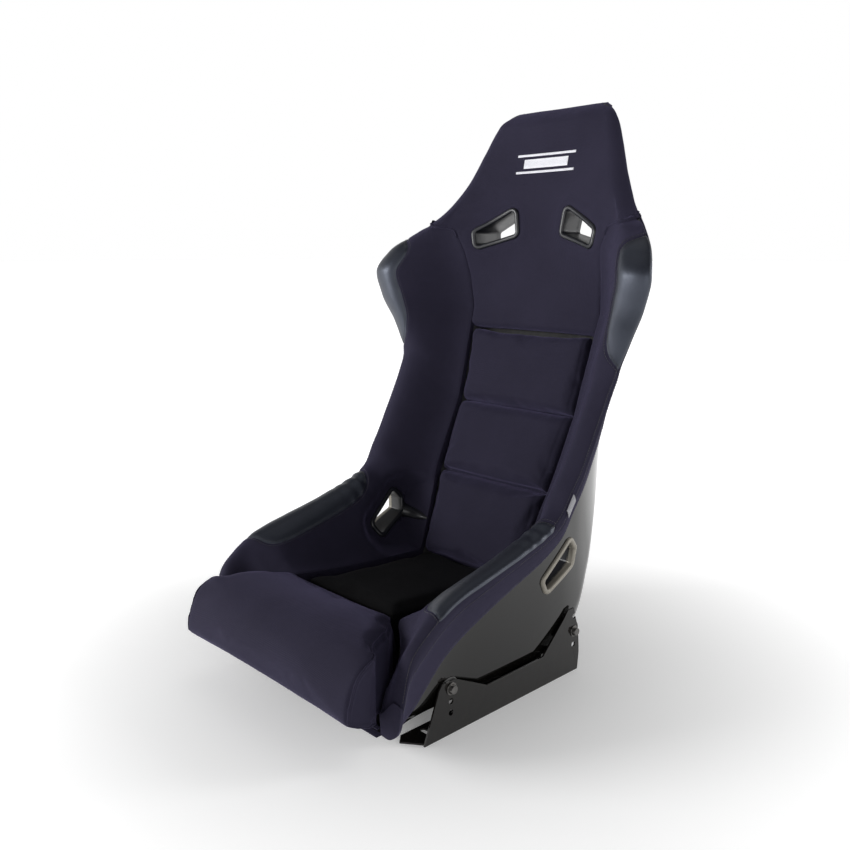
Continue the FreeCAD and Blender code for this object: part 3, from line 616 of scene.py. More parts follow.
def trim(surface, field):
    """Part of a surface where a field of its points and marks is positive, with a clean edge."""
    points, notes, faces = surface
    values = list(field(points, notes[:, 3:]))
    points, notes = list(points), list(notes)
    for face in faces:
        for a, b in zip(face, face[1:] + face[:1]):
            if values[a] * values[b] < 0:
                t = values[a] / (values[a] - values[b])
                near, share = (a, t) if t < 0.5 else (b, 1 - t)
                if share < 0.3:
                    points[near] = points[a] + (points[b] - points[a]) * t
                    notes[near] = notes[a] + (notes[b] - notes[a]) * t
                    values[near] = 0.0
    made, crossings = [], {}
    for face in faces:
        signs = [values[k] for k in face]
        if max(signs) <= 0:
            continue
        if min(signs) >= 0:
            made.append(face)
            continue
        loop = []
        for a, b in zip(face, face[1:] + face[:1]):
            if values[a] >= 0:
                loop.append(a)
            if values[a] * values[b] < 0:
                key = (min(a, b), max(a, b))
                if key not in crossings:
                    t = values[a] / (values[a] - values[b])
                    crossings[key] = len(points)
                    points.append(points[a] + (points[b] - points[a]) * t)
                    notes.append(notes[a] + (notes[b] - notes[a]) * t)
                    values.append(0.0)
                loop.append(crossings[key])
        if len(loop) > 2:
            made.append(tuple(loop))
    used = sorted({k for face in made for k in face})
    fresh = {k: n for n, k in enumerate(used)}
    return (np.array([points[k] for k in used]), np.array([notes[k] for k in used]),
            [tuple(fresh[k] for k in face) for face in made])


def thicken(name, surface, thickness, material, lining=None):
    """Closed sheet between a surface and its copy moved inwards."""
    points, notes, faces = surface
    shift = len(points)
    sides = {(a, b) for face in faces for a, b in zip(face, face[1:] + face[:1])}
    rim = [(a, b, b + shift, a + shift) for a, b in sides if (b, a) not in sides]
    both = np.vstack((points, points - notes[:, :3] * thickness))
    back = [tuple(k + shift for k in reversed(face)) for face in faces]
    piece = new_piece(name, both, faces + back + rim, material)
    if lining:
        piece.data.materials.append(lining)
        for polygon in piece.data.polygons[len(faces):2 * len(faces)]:
            polygon.material_index = 1
    return piece


def skin(name, grid, thickness, material):
    return thicken(name, sheet(grid), thickness, material)


def tree_of(grid):
    """Search tree of a grid, in millimetres."""
    rows, columns = grid.shape[:2]
    return BVHTree.FromPolygons([Vector(p) for p in grid.reshape(-1, 3)], grid_faces(rows, columns))


def discard(*pieces):
    for piece in pieces:
        bpy.data.objects.remove(piece)


def smooth_outline(points, per_side=14):
    """Closed Catmull-Rom curve through points."""
    points = np.array(points, float)
    made = []
    for k in range(len(points)):
        p0, p1, p2, p3 = [points[(k + shift) % len(points)] for shift in (-1, 0, 1, 2)]
        for t in np.arange(per_side) / per_side:
            made.append(0.5 * (2 * p1 + (p2 - p0) * t + (2 * p0 - 5 * p1 + 4 * p2 - p3) * t**2
                               + (3 * p1 - p0 - 3 * p2 + p3) * t**3))
    return np.array(made)


def inset(points, distance):
    """Polygon with every side moved inwards."""
    area = sum(a[0] * b[1] - b[0] * a[1] for a, b in zip(points, points[1:] + points[:1]))
    turn = math.copysign(1, area)
    sides = []
    for (x0, y0), (x1, y1) in zip(points, points[1:] + points[:1]):
        size = math.dist((x0, y0), (x1, y1)) * turn
        nx, ny = (y0 - y1) / size, (x1 - x0) / size
        sides.append((nx, ny, nx * x0 + ny * y0 + distance))
    corners = []
    for (a, b, c), (d, e, f) in zip(sides[-1:] + sides[:-1], sides):
        det = a * e - b * d
        corners.append(((c * e - b * f) / det, (a * f - c * d) / det))
    return corners


def slot_outline(points, shrink):
    """Rounded slot outline moved inwards, with the same number of points at every shrink."""
    arc, straight = 9, 16
    points = inset(points, shrink)
    radius = BEZEL_CORNER_R - shrink
    arcs = []
    for before, corner, after in zip(points[-1:] + points[:-1], points, points[1:] + points[:1]):
        corner = np.array(corner)
        arms = [(np.array(p) - corner) / math.dist(p, corner) for p in (before, after)]
        half = 0.5 * math.acos(float(arms[0] @ arms[1]))
        middle = arms[0] + arms[1]
        centre = corner + middle / np.linalg.norm(middle) * radius / math.sin(half)
        ends = [corner + arm * radius / math.tan(half) - centre for arm in arms]
        turn = math.pi - 2 * half
        arcs.append([centre + (math.sin((1 - t) * turn) * ends[0] + math.sin(t * turn) * ends[1])
                     / math.sin(turn) for t in np.linspace(0, 1, arc)])
    made = []
    for arc_points, following in zip(arcs, arcs[1:] + arcs[:1]):
        made += arc_points
        made += [arc_points[-1] + (following[0] - arc_points[-1]) * t
                 for t in np.linspace(0, 1, straight + 2)[1:-1]]
    return np.array(made)


def distance_to(outline, points):
    """Signed distance of plane points to a closed outline, positive inside."""
    near = np.full(points.shape[:-1], 1e9)
    inside = np.zeros(points.shape[:-1], bool)
    for a, b in zip(outline, np.roll(outline, -1, axis=0)):
        side = b - a
        t = np.clip(((points - a) @ side) / max(side @ side, 1e-9), 0, 1)
        near = np.minimum(near, np.linalg.norm(points - a - t[..., None] * side, axis=-1))
        crosses = (a[1] > points[..., 1]) != (b[1] > points[..., 1])
        with np.errstate(divide="ignore", invalid="ignore"):
            at = a[0] + (points[..., 1] - a[1]) / (b[1] - a[1]) * side[0]
        inside ^= crosses & (points[..., 0] < at)
    return np.where(inside, near, -near)


def ripple(points, size, height, seed=0.0):
    """Soft noise height at each point, for waves of about a size in millimetres."""
    flat = points.reshape(-1, 3)
    values = [noise.noise(Vector((p[0] / size + seed, p[1] / size, p[2] / size))) for p in flat]
    return height * np.array(values).reshape(points.shape[:-1])


def groove(distance, depth, width):
    return -depth * np.exp(-(distance / width)**2)


# ---------------------------------------------------------------- stitching
STITCH_PITCH, STITCH_LENGTH, STITCH_WIDTH, STITCH_LIFT = 4.4, 3.1, 0.75, 0.2


def stitch_row(path, normals):
    """Points and faces of a row of stitches along a path."""
    path, normals = np.asarray(path, float), np.asarray(normals, float)
    lengths = arc_lengths(path)
    rings, sides = 5, 6
    points, faces = [], []
    for k in range(int(lengths[-1] / STITCH_PITCH)):
        middle = (k + 0.5) * STITCH_PITCH
        a, b = along_line(path, lengths, (middle - STITCH_LENGTH / 2, middle + STITCH_LENGTH / 2))
        normal = along_line(normals, lengths, (middle,))[0]
        along = (b - a) / max(np.linalg.norm(b - a), 1e-9)
        across = np.cross(along, normal)
        across /= max(np.linalg.norm(across), 1e-9)
        normal = np.cross(across, along)
        faces += ring_faces(rings, sides, len(points))
        for t in np.linspace(0, 1, rings):
            fat = STITCH_WIDTH / 2 * max(0.35, math.sin(math.pi * (0.12 + 0.76 * t)))
            centre = a + (b - a) * t + normal * (0.1 + 0.3 * math.sin(math.pi * t))
            for side in range(sides):
                angle = 2 * math.pi * side / sides
                points.append(centre + across * fat * math.cos(angle)
                              + normal * fat * 0.8 * math.sin(angle))
    return points, faces


def stitches(name, rows):
    """One piece from several (path, normals) rows."""
    points, faces = [], []
    for path, normals in rows:
        if len(path) < 2:
            continue
        row_points, row_faces = stitch_row(path, normals)
        faces += [tuple(len(points) + k for k in f) for f in row_faces]
        points += row_points
    return new_piece(name, points, faces, THREAD)


def offset_outline(outline, distance):
    """Closed outline moved inwards along its normals."""
    ahead = np.roll(outline, -1, axis=0) - np.roll(outline, 1, axis=0)
    normals = np.column_stack((-ahead[:, 1], ahead[:, 0])) / np.linalg.norm(ahead, axis=1)[:, None]
    area = np.sum(outline[:, 0] * np.roll(outline[:, 1], -1) - np.roll(outline[:, 0], -1) * outline[:, 1])
    return outline + normals * distance * math.copysign(1, area)


def settle(piece, body, slot_name, *replaced, fill=None):
    """Puts a finished piece on its body and hides the nodes that it stands for; its slot is not used."""
    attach(piece, body)
    if replaced:
        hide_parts(*replaced)


def both_sides(piece, stem, slot_name, *stems):
    """Settles a left-hand piece and its mirror image."""
    piece.name = stem + "_left"
    right = mirror_piece(piece, stem + "_right")
    for made, side in ((piece, "_left"), (right, "_right")):
        settle(made, "root", slot_name, *[s + side for s in stems])


# ---------------------------------------------------------------- covers
THIGH_OUTLINE = smooth_outline(THIGH_PATCH)
WING_OUTLINE = smooth_outline(WING_PATCH)


def run_out(to_hem, margin):
    """Station where the head seam comes within a margin of the hem, or else of the edge seam."""
    for u in np.linspace(*RUN_OUT, 200):
        _, _, seam_s, edge_s, hem_s = Station(u).upholstery()
        if seam_place(u, seam_s, hem_s) > (hem_s if to_hem else edge_s) - margin:
            return u
    return RUN_OUT[1]


def side_grid():
    """Side cover from its tucked-in edge over the bolster to the gusset seam."""
    stations = even_stations(0, run_out(False, 5.0), LINE_STEP)
    rows, from_seam, marks = [], [], []
    for u, along in zip(stations, ridge_lengths(stations)):
        st = Station(u)
        line, lengths, seam_s, edge_s, hem_s = st.upholstery()
        start = seam_place(u, seam_s, hem_s)
        wanted = np.linspace(min(start, edge_s - 1), edge_s, 66)
        section = along_line(line, lengths, wanted)
        (x, h) = section[0]
        tuck = 1 + (min(TUCK, 0.3 * h) - 1) * (1 - smoothstep((u - 17.2) / 0.7))
        depth = np.linspace(tuck, 0, 8, endpoint=False)
        tucked = np.column_stack((x + 2.5 * np.sin(depth / TUCK * math.pi / 2), h - depth))
        rows.append(st.at(np.vstack((tucked, section))))
        reach = np.concatenate((-depth, wanted - wanted[0]))
        from_seam.append(reach)
        marks.append(np.column_stack((edge_s - wanted[0] - reach, np.full(len(reach), along))))
    return np.array(rows), np.array(from_seam), np.array(marks)


def dent(grid, from_seam):
    """Side cover drawn out towards the shell round the lap slot, but not at its crease."""
    near = distance_to(slot_outline(LAP_SLOT, 0), grid[..., 1:])
    weight = smoothstep((near + 46) / 40) * smoothstep((from_seam + 1) / 9)
    grid[..., 0] += weight * np.maximum(dent_level(grid[..., 2]) - grid[..., 0], 0)


def dent_level(z):
    """Half width of the side cover at the lap slot."""
    return np.interp(z, (150, 175, 200, 255), (164, 180, 190, 198))


def dress_side(grid, from_seam, marks):
    """Seam grooves, soft waves and waist wrinkles of the side cover and of its leather patches."""
    base = groove(np.maximum(from_seam, 0), 1.6, 3.0) + groove(marks[..., 0], 1.4, 2.6)
    base += ripple(grid, 55, 0.9) + ripple(grid, 21, 0.25, 7)
    leather = base.copy()
    for outline in (THIGH_OUTLINE, WING_OUTLINE):
        distance = distance_to(outline, marks)
        base += groove(distance, 1.5, 2.6) + 0.5 * np.exp(-((distance + 6) / 4)**2)
        leather += groove(distance, 1.5, 2.2) + 1.5 * smoothstep(distance / 14) * (distance > 0)
    y, z = grid[..., 1], grid[..., 2]
    waist = np.exp(-((y - 62) / 44)**2) * np.exp(-((z - 258) / 42)**2)
    folds = np.sin((y * 0.93 + z * 0.25 + 0.10 * grid[..., 0]) / 12.5 * math.pi + ripple(grid, 30, 2.4, 3))
    leather += 1.0 * waist * folds
    base += 0.5 * waist * folds
    return raised(grid, base), raised(grid, leather)


def outside(outline, axes):
    """Field that is positive outside an outline seen along an axis."""
    return lambda points, marks: -distance_to(outline, points[:, axes])


def sink(grid):
    """Lowers the last rows of a grid under the cover that laps over them."""
    rows = len(grid)
    share = smoothstep((np.arange(rows) - (rows - 9)) / 8)
    grid -= grid_normals(grid) * (3.2 * share)[:, None, None]


def on_grid(grid, marks, outline):
    """Runs of a line of marks laid on a grid, with the normals there."""
    normals = grid_normals(grid)
    along = marks[:, 0, 1]
    runs, path, sides = [], [], []
    for edge, reach in outline:
        if edge < 0.8 or not along[0] + 2 < reach < along[-1] - 2:
            if len(path) > 6:
                runs.append((np.array(path), np.array(sides)))
            path, sides = [], []
            continue
        row = float(np.interp(reach, along, np.arange(len(along))))
        low, share = int(row), row - int(row)
        place, normal = np.zeros(3), np.zeros(3)
        for index, weight in ((low, 1 - share), (min(low + 1, len(grid) - 1), share)):
            across = -marks[index, :, 0]
            for k in range(3):
                place[k] += weight * np.interp(-edge, across, grid[index, :, k])
                normal[k] += weight * np.interp(-edge, across, normals[index, :, k])
        path.append(place + normal * STITCH_LIFT)
        sides.append(normal)
    if len(path) > 6:
        runs.append((np.array(path), np.array(sides)))
    return runs


def make_side_covers():
    grid, from_seam, marks = side_grid()
    dent(grid, from_seam)
    cloth, hide = dress_side(grid, from_seam, marks)
    sink(cloth)
    cover = sheet(cloth, marks)
    for outline in (THIGH_OUTLINE, WING_OUTLINE):
        cover = trim(cover, lambda points, marks: -0.3 - distance_to(outline, marks))
    cover = trim(cover, outside(slot_outline(LAP_SLOT, BEZEL_W / 2), (1, 2)))
    both_sides(thicken("side_cover", cover, SKIN_T, FABRIC), "side_cover", "seat_fabric", "side_cover")
    for name, outline in (("thigh_patch", THIGH_OUTLINE), ("shoulder_patch", WING_OUTLINE)):
        patch = trim(sheet(hide, marks), lambda points, marks: distance_to(outline, marks))
        both_sides(thicken(name, patch, SKIN_T, LEATHER), name, "leather", name)
        rows = on_grid(hide, marks, offset_outline(outline, 3.6))
        rows += on_grid(cloth, marks, offset_outline(outline, -3.8))
        both_sides(stitches(name + "_stitches", rows), name + "_stitches", "seat_fabric")
    return cloth, tree_of(cloth)


def make_gussets(cloth):
    """Band round the rim, sewn to the side cover's edge."""
    rows, below_seam, above_hem = [], [], []
    for u in even_stations(0, run_out(True, 4.0), LINE_STEP):
        st = Station(u)
        line, lengths, seam_s, edge_s, hem_s = st.upholstery()
        start = min(max(seam_place(u, seam_s, hem_s), edge_s), hem_s - 0.6)
        wanted = np.linspace(start, hem_s, 16)
        rows.append(st.at(along_line(line, lengths, wanted)))
        below_seam.append(wanted - start)
        above_hem.append(hem_s - wanted)
    grid, below_seam, above_hem = np.array(rows), np.array(below_seam), np.array(above_hem)
    height = groove(below_seam, 1.4, 2.4) + groove(above_hem, 0.9, 1.6)
    height += groove(below_seam - 9, 0.7, 1.4) + ripple(grid, 40, 0.35, 5)
    grid = raised(grid, height)
    sink(grid)
    both_sides(skin("edge_gusset", grid, SKIN_T, FABRIC), "edge_gusset", "seat_fabric", "edge_gusset")
    lines = []
    for cover, column, end in ((grid, 3, -12), (grid, 13, -12), (cloth, -3, -8)):
        normals = grid_normals(cover)[2:end, column]
        lines.append((cover[2:end, column] + normals * STITCH_LIFT, normals))
    both_sides(stitches("gusset_stitches", lines), "gusset_stitches", "seat_fabric")


def head_grid():
    """Head cover from seam to seam, and over the sides and the top of the head."""
    rows, from_seam = [], []
    stations = list(even_stations(HEAD_START, TOP_FOLD, LINE_STEP))
    angles = np.linspace(0, math.radians(80), 15)[1:]
    for u in stations + list(TOP_FOLD + (LAST - TOP_FOLD) * np.sin(angles)):
        st = Station(u)
        line, lengths, seam_s, _, hem_s = st.upholstery()
        end = seam_place(u, seam_s, hem_s)
        half = np.linspace(0, end, 75)
        section = along_line(line, lengths, half)
        soften = smoothstep((u - RUN_OUT[0] - 0.3) / 2.2)
        if soften > 0:
            section = section * (1 - soften) + soft_line(section, 5) * soften
        straight = smoothstep((u - 22.4) / 0.4)
        section[:, 0] += straight * (np.maximum.accumulate(section[:, 0]) - section[:, 0])
        mirror = section[:0:-1] * (-1, 1)
        rows.append(st.at(np.vstack((mirror, section))))
        gap = end - half if u < RUN_OUT[1] else np.full(len(half), 99.0)
        from_seam.append(np.concatenate((gap[:0:-1], gap)))
    return np.array(rows), np.array(from_seam)


def soft_line(points, reach):
    """Polyline averaged over a few neighbours, with its ends kept."""
    made = points.copy()
    padded = np.vstack(([2 * points[0] - p for p in points[reach:0:-1]], points, [points[-1]] * reach))
    weights = np.hanning(2 * reach + 3)[1:-1]
    for k in range(2):
        made[:, k] = np.convolve(padded[:, k], weights / weights.sum(), mode="valid")
    made[0, 0] = 0
    made[-1] = points[-1]
    return made


def make_head_cover():
    grid, from_seam = head_grid()
    rise = arc_lengths(grid[:, grid.shape[1] // 2])
    curl = np.clip(1 - rise / 12.0, 0, 1)[:, None]
    height = groove(from_seam, 1.6, 3.0) + ripple(grid, 60, 1.0, 2) + ripple(grid, 22, 0.2, 4)
    height -= 12 * (1 - np.sqrt(1 - curl**2))
    for side in (1, -1):
        distance = distance_to(slot_outline(SHOULDER_SLOT, 0) * (side, 1), grid[..., (0, 2)])
        height += 0.9 * np.exp(-((distance + 9) / 8)**2)
    start = grid_normals(grid)[0]
    grid = raised(grid, height)
    hem = [grid[0] - start * depth for depth in (18, 12, 6, 2)]
    cover = sheet(np.concatenate((hem, grid)))
    for side in (1, -1):
        cover = trim(cover, outside(slot_outline(SHOULDER_SLOT, BEZEL_W / 2) * (side, 1), (0, 2)))
    piece = thicken("head_cover", cover, SKIN_T, FABRIC)
    settle(piece, "root", "seat_fabric", "head_cover", "head_top_cover")
    return grid


def make_shell():
    """Laminate shell with its slot holes and mount bosses."""
    rows = []
    for u in even_stations(0, LAST - 0.12, 4.0):
        st = Station(u)
        if u > 21.5:
            st.rim_x -= 5 * smoothstep(u - 21.5)
            st.rim = max(st.rim - 6 * smoothstep(u - 21.5), st.corner + 0.5)
        half = resample(st.shell_half(), 90)
        rows.append(st.at(np.vstack((half[::-1], half[1:] * (-1, 1)))))
    grid = np.array(rows)
    surface = trim(sheet(grid), outside(slot_outline(LAP_SLOT, BEZEL_W / 2), (1, 2)))
    for side in (1, -1):
        surface = trim(surface, outside(slot_outline(SHOULDER_SLOT, BEZEL_W / 2) * (side, 1), (0, 2)))
    shell = thicken("shell", surface, SHELL_T, SHELL, lining=LAMINATE)
    join(shell, [boss(side, y, z) for side in (1, -1) for y, z in MOUNT_POINTS])
    settle(shell, "root", "shell_gloss", "shell")
    return grid


def join(piece, others):
    """Adds the meshes of other pieces to a piece and removes them."""
    form = bmesh.new()
    for each in [piece] + others:
        form.from_mesh(each.data)
    form.to_mesh(piece.data)
    form.free()
    discard(*others)
    piece.data.shade_smooth()
    piece.data.set_sharp_from_angle(angle=SHARP)


def boss(side, y, z):
    """Mount boss, flared where it leaves the shell."""
    profile = [(190, 27), (204, 24), (209, 19.5), (213.0, 17), (213.6, 16)]
    count = 40
    points = [(side * x, y + r * math.cos(2 * math.pi * k / count), z + r * math.sin(2 * math.pi * k / count))
              for x, r in profile for k in range(count)]
    return new_piece("boss", points, ring_faces(len(profile), count), SHELL)


def make_front_covers():
    """Domed fabric end of each bolster and the binding of the front lip."""
    st = Station(0)
    line, lengths, seam_s, _, _ = st.upholstery()
    side = line[lengths >= seam_s - 0.01]
    half = st.shell_half(1.0)
    low = half[(half[:, 1] < side[-1][1]) & (half[:, 0] > st.seam)][::-1]
    loop = resample(np.vstack((side, low, [(st.seam, 0.0), side[0]])), 97)[:-1]
    centre = loop.mean(axis=0)
    forward = np.array((0, st.up[1], -st.up[0]))
    rings = [(1.0, -3.0), (1.0, 0.5), (0.985, 2.2), (0.95, 3.6), (0.88, 5.2), (0.75, 7.2), (0.55, 9.0),
             (0.3, 10.0), (0.1, 10.3)]
    points = []
    for scale, bulge in rings:
        points += list(st.at(centre + (loop - centre) * scale) + forward * bulge)
    points = np.array(points)
    points += ripple(points, 30, 0.6)[:, None] * forward
    end = new_piece("front_end_cover", points, ring_faces(len(rings), len(loop)), FABRIC)
    both_sides(end, "front_end_cover", "seat_fabric", "front_end_cover")
    binding = [(9.5, -7), (10.5, -2), (9, 1.8), (5, 3.4), (1, 3.6), (-2.2, 2.0), (-3, -2), (-2.6, -9)]
    grid = np.array([[st.at([(x, h)])[0] + forward * out for h, out in binding]
                     for x in np.linspace(-190, 190, 120)])
    grid += ripple(grid, 30, 0.35)[..., None] * forward
    lip = skin("front_lip_cover", grid[:, ::-1], SKIN_T * 0.8, FABRIC)
    settle(lip, "root", "seat_fabric", "front_lip_cover")


# ---------------------------------------------------------------- bezels, emblem and tag
def ring_piece(name, outline, place, profile, material):
    """Ring lofted round a slot. The profile holds (inset, height, is_sleeve) points."""
    points = [place(p, height, sleeve) for shrink, height, sleeve in profile
              for p in slot_outline(outline, shrink)]
    faces = ring_faces(len(profile), len(points) // len(profile), closed=True)
    return new_piece(name, points, faces, material)


FLANGE = [(0, -0.6), (0.1, 0.9), (0.5, 2.2), (1.4, 3.3), (2.8, 3.9), (4.4, 4.1), (6.0, 3.9), (7.4, 3.2),
          (8.4, 2.0), (8.9, 0.4)]


def flange_profile(depth):
    """Raised flange, then a sleeve through the slot."""
    return ([(d, h, False) for d, h in FLANGE]
            + [(9.0, 0.35 * depth, True), (9.0, depth, True), (7.2, depth, True), (7.0, -1.2, False)])


def surface_place(tree, start, direction, stop=None):
    """Places ring points on a surface: heights along its normal, sleeve depths along the direction.

    A sleeve depth is in millimetres, or a share of the way to the surface that stops the sleeve."""
    direction = Vector(direction)

    def place(p, height, sleeve):
        hit, normal, _, _ = tree.ray_cast(Vector(start(p)), direction)
        if hit is None:
            hit, normal, _, _ = tree.find_nearest(Vector(start(p)) + direction * 120)
        if sleeve and stop:
            end = stop.ray_cast(hit, direction)[0]
            reach = (end - hit).length - 6.5 if end else 20.0
            return np.array(hit + direction * height * max(reach, 3.0))
        if sleeve:
            return np.array(hit + direction * height)
        normal = normal if normal.dot(direction) < 0 else -normal
        return np.array(hit + normal * height)
    return place


def make_bezels(side_tree, head, shell):
    head_tree, shell_tree = tree_of(head), tree_of(shell)
    black, satin = (BLACK_BEZEL, "bezel_black"), (SATIN_BEZEL, "bezel_satin")
    jobs = [
        ("lap_bezel_inner", LAP_SLOT, side_tree, lambda p: (100, *p), (1, 0, 0), True, black),
        ("lap_bezel_outer", LAP_SLOT, shell_tree, lambda p: (400, *p), (-1, 0, 0), False, satin),
        ("shoulder_bezel_front", SHOULDER_SLOT, head_tree, lambda p: (p[0], 150, p[1]), (0, 1, 0),
         True, black),
        ("shoulder_bezel_rear", SHOULDER_SLOT, shell_tree, lambda p: (p[0], 500, p[1]), (0, -1, 0),
         False, black)]
    for name, outline, tree, start, direction, reaches_shell, (material, slot_name) in jobs:
        place = surface_place(tree, start, direction, shell_tree if reaches_shell else None)
        profile = flange_profile(1.0 if reaches_shell else 9.0)
        both_sides(ring_piece(name, outline, place, profile, material), name, slot_name, name)


def make_emblem(head):
    """Embroidered bars: threads side by side that follow the head cover."""
    tree = tree_of(head)
    points, faces = [], []
    for bottom, height, half in EMBLEM_BARS:
        columns, rows = int(2 * half / 0.35), 7
        start = len(points)
        for i in range(columns + 1):
            x = -half + 2 * half * i / columns
            rise = 0.75 + 0.28 * math.cos(i * math.pi)
            for j in range(rows):
                t = j / (rows - 1)
                slope = 0.4 * (t - 0.5) + 0.12 * math.sin(i * 1.7)
                before = Vector((x + slope, 100, bottom + height * t))
                hit, normal, _, _ = tree.ray_cast(before, Vector((0, 1, 0)))
                normal = normal if normal.y < 0 else -normal
                crown = math.sin(math.pi * (0.08 + 0.84 * t))**0.5 * (1 if 0 < i < columns else 0.3)
                points.append(np.array(hit + normal * (rise * crown)))
        shift = len(points) - start
        points += [p + (0, 1.6, 0) for p in points[start:]]
        top = grid_faces(columns + 1, rows, start)
        faces += top + [tuple(k + shift for k in reversed(f)) for f in top]
        loop = ([start + j for j in range(rows)] + [start + i * rows + rows - 1 for i in range(1, columns + 1)]
                + [start + columns * rows + j for j in range(rows - 2, -1, -1)]
                + [start + i * rows for i in range(columns - 1, 0, -1)])
        faces += [(a, b, b + shift, a + shift) for a, b in zip(loop, loop[1:] + loop[:1])]
    settle(new_piece("head_emblem", points, faces, EMBLEM), "root", "emblem_thread", "head_emblem")


def make_side_tag():
    """Blank woven label that stands out of the gusset seam."""
    section = np.array([(0.6, 2.0), (2.2, 0.5), (2.7, -3), (2.7, -7), (2.3, -10.5)])
    rows = []
    for u in np.linspace(7.35, 8.05, 12):
        st = Station(u)
        rows.append(st.at(section + (st.outer, st.edge_h)))
    settle(skin("side_tag", np.array(rows), 0.6, TAG), "root", "tag_fabric", "side_tag")


# ---------------------------------------------------------------- cushions and foams
def apply_modifiers(piece):
    graph = bpy.context.evaluated_depsgraph_get()
    mesh = bpy.data.meshes.new_from_object(piece.evaluated_get(graph))
    piece.modifiers.clear()
    piece.data = mesh


def vertex_values(mesh, what="co"):
    """Coordinates (metres) or normals of all vertices."""
    values = np.zeros(len(mesh.vertices) * 3, np.float32)
    mesh.vertices.foreach_get(what, values)
    return values.reshape(-1, 3).astype(float)


def set_coordinates(mesh, metres):
    mesh.vertices.foreach_set("co", metres.astype(np.float32).ravel())


def remeshed(name, source, voxel, shrink, rounding=0):
    """Even quads over a copy of a closed mesh, moved in a little."""
    piece = add_object(name, source.copy())
    weld = piece.modifiers.new("weld", "WELD")
    weld.merge_threshold = 0.00005
    even = piece.modifiers.new("even", "REMESH")
    even.mode = "VOXEL"
    even.voxel_size = voxel * MM
    if rounding:
        soft = piece.modifiers.new("soft", "SMOOTH")
        soft.factor = 0.5
        soft.iterations = rounding
    apply_modifiers(piece)
    form = bmesh.new()
    form.from_mesh(piece.data)
    bmesh.ops.recalc_face_normals(form, faces=form.faces)
    form.normal_update()
    for vertex, normal in [(v, v.normal.copy()) for v in form.verts]:
        vertex.co -= normal * shrink * MM
    form.to_mesh(piece.data)
    form.free()
    return piece


def start_swelling(piece, pinned):
    """Cloth that a light inside pressure blows up, held where pinned."""
    group = piece.vertex_groups.new(name="held")
    group.add([int(k) for k in np.nonzero(pinned)[0]], 1.0, "REPLACE")
    cloth = piece.modifiers.new("cloth", "CLOTH")
    settings = cloth.settings
    settings.quality = 6
    settings.mass = 0.3
    settings.tension_stiffness = settings.compression_stiffness = 18
    settings.shear_stiffness = 8
    settings.bending_stiffness = 0.6
    settings.use_pressure = True
    settings.uniform_pressure_force = 4.0
    settings.vertex_group_mass = "held"
    settings.effector_weights.gravity = 0
    cloth.collision_settings.use_collision = False
    cloth.point_cache.frame_end = SWELL_FRAMES


def stop_swelling(piece):
    piece.modifiers.clear()
    piece.vertex_groups.clear()


def swell(jobs):
    """Runs the cloth of every cushion at once; jobs are (piece, most movement in millimetres)."""
    before = [vertex_values(piece.data) for piece, _ in jobs]
    for number in range(1, SWELL_FRAMES + 1):
        scene.frame_set(number)
    graph = bpy.context.evaluated_depsgraph_get()
    after = [vertex_values(piece.evaluated_get(graph).data) for piece, _ in jobs]
    for (piece, most), old, new in zip(jobs, before, after):
        stop_swelling(piece)
        move = new - old
        size = np.linalg.norm(move, axis=1, keepdims=True)
        move *= np.minimum(1, most * MM / np.maximum(size, 1e-9))
        set_coordinates(piece.data, old + move)
        piece.data.update()
    scene.frame_set(1)


def finish_cushion(piece, material, height, reshape=None):
    """Smooths and subdivides a cushion, reshapes it, adds its seams, and shades it."""
    soft = piece.modifiers.new("soft", "SMOOTH")
    soft.factor = 0.5
    soft.iterations = 5
    fine = piece.modifiers.new("fine", "SUBSURF")
    fine.levels = fine.render_levels = 1
    apply_modifiers(piece)
    points = vertex_values(piece.data) / MM
    points += vertex_values(piece.data, "normal") * height(points)[:, None]
    if reshape:
        points = reshape(points)
    set_coordinates(piece.data, points * MM)
    dress(piece, material, SOFT_SHARP)


def make_cushions():
    forward = np.array((0, -0.933, 0.360))
    jobs, pads = [], []
    for index, name in enumerate(("back_cushion_lower", "back_cushion_middle", "back_cushion_upper")):
        piece = remeshed(name + "_pad", nodes[name].data, 5.0, 0.5)
        depth = (vertex_values(piece.data) / MM - (0, *CREASES[index])) @ forward
        start_swelling(piece, depth < -22)
        jobs.append((piece, 7.0))
        pads.append((piece, name, index))
    base = remeshed("base_cushion_pad", nodes["base_cushion"].data, 6.0, 2.0)
    start_swelling(base, vertex_values(base.data)[:, 2] / MM < 104)
    jobs.append((base, 5.0))
    thigh = remeshed("thigh_cushion_pad", thigh_block(), 4.6, 1.0, rounding=2)
    start_swelling(thigh, vertex_values(thigh.data)[:, 2] / MM < 61)
    jobs.append((thigh, 5.0))
    swell(jobs)
    for piece, name, index in pads:
        finish_cushion(piece, FABRIC, lambda points: ripple(points, 45, 0.7, index * 9.0)
                       + pad_seams(points, index), lambda points: roll_pad(points, index))
        settle(piece, name, "seat_fabric", name, fill=0.75)
    finish_cushion(base, BASE_CLOTH, lambda points: ripple(points, 50, 0.8, 31.0))
    settle(base, "root", "base_fabric", "base_cushion", fill=0.6)
    finish_cushion(thigh, FABRIC,
                   lambda points: ripple(points, 70, 1.1, 13.0) + thigh_seams(points), flatten_ends)
    settle(thigh, "thigh_cushion", "seat_fabric", "thigh_cushion", fill=0.85)
    make_welts(thigh)


def pad_half(index, share):
    """Half width of the back cushions at a share of the height of one of them."""
    return 110 + 29 * np.clip((index + share) / 3, 0, 1)**0.7


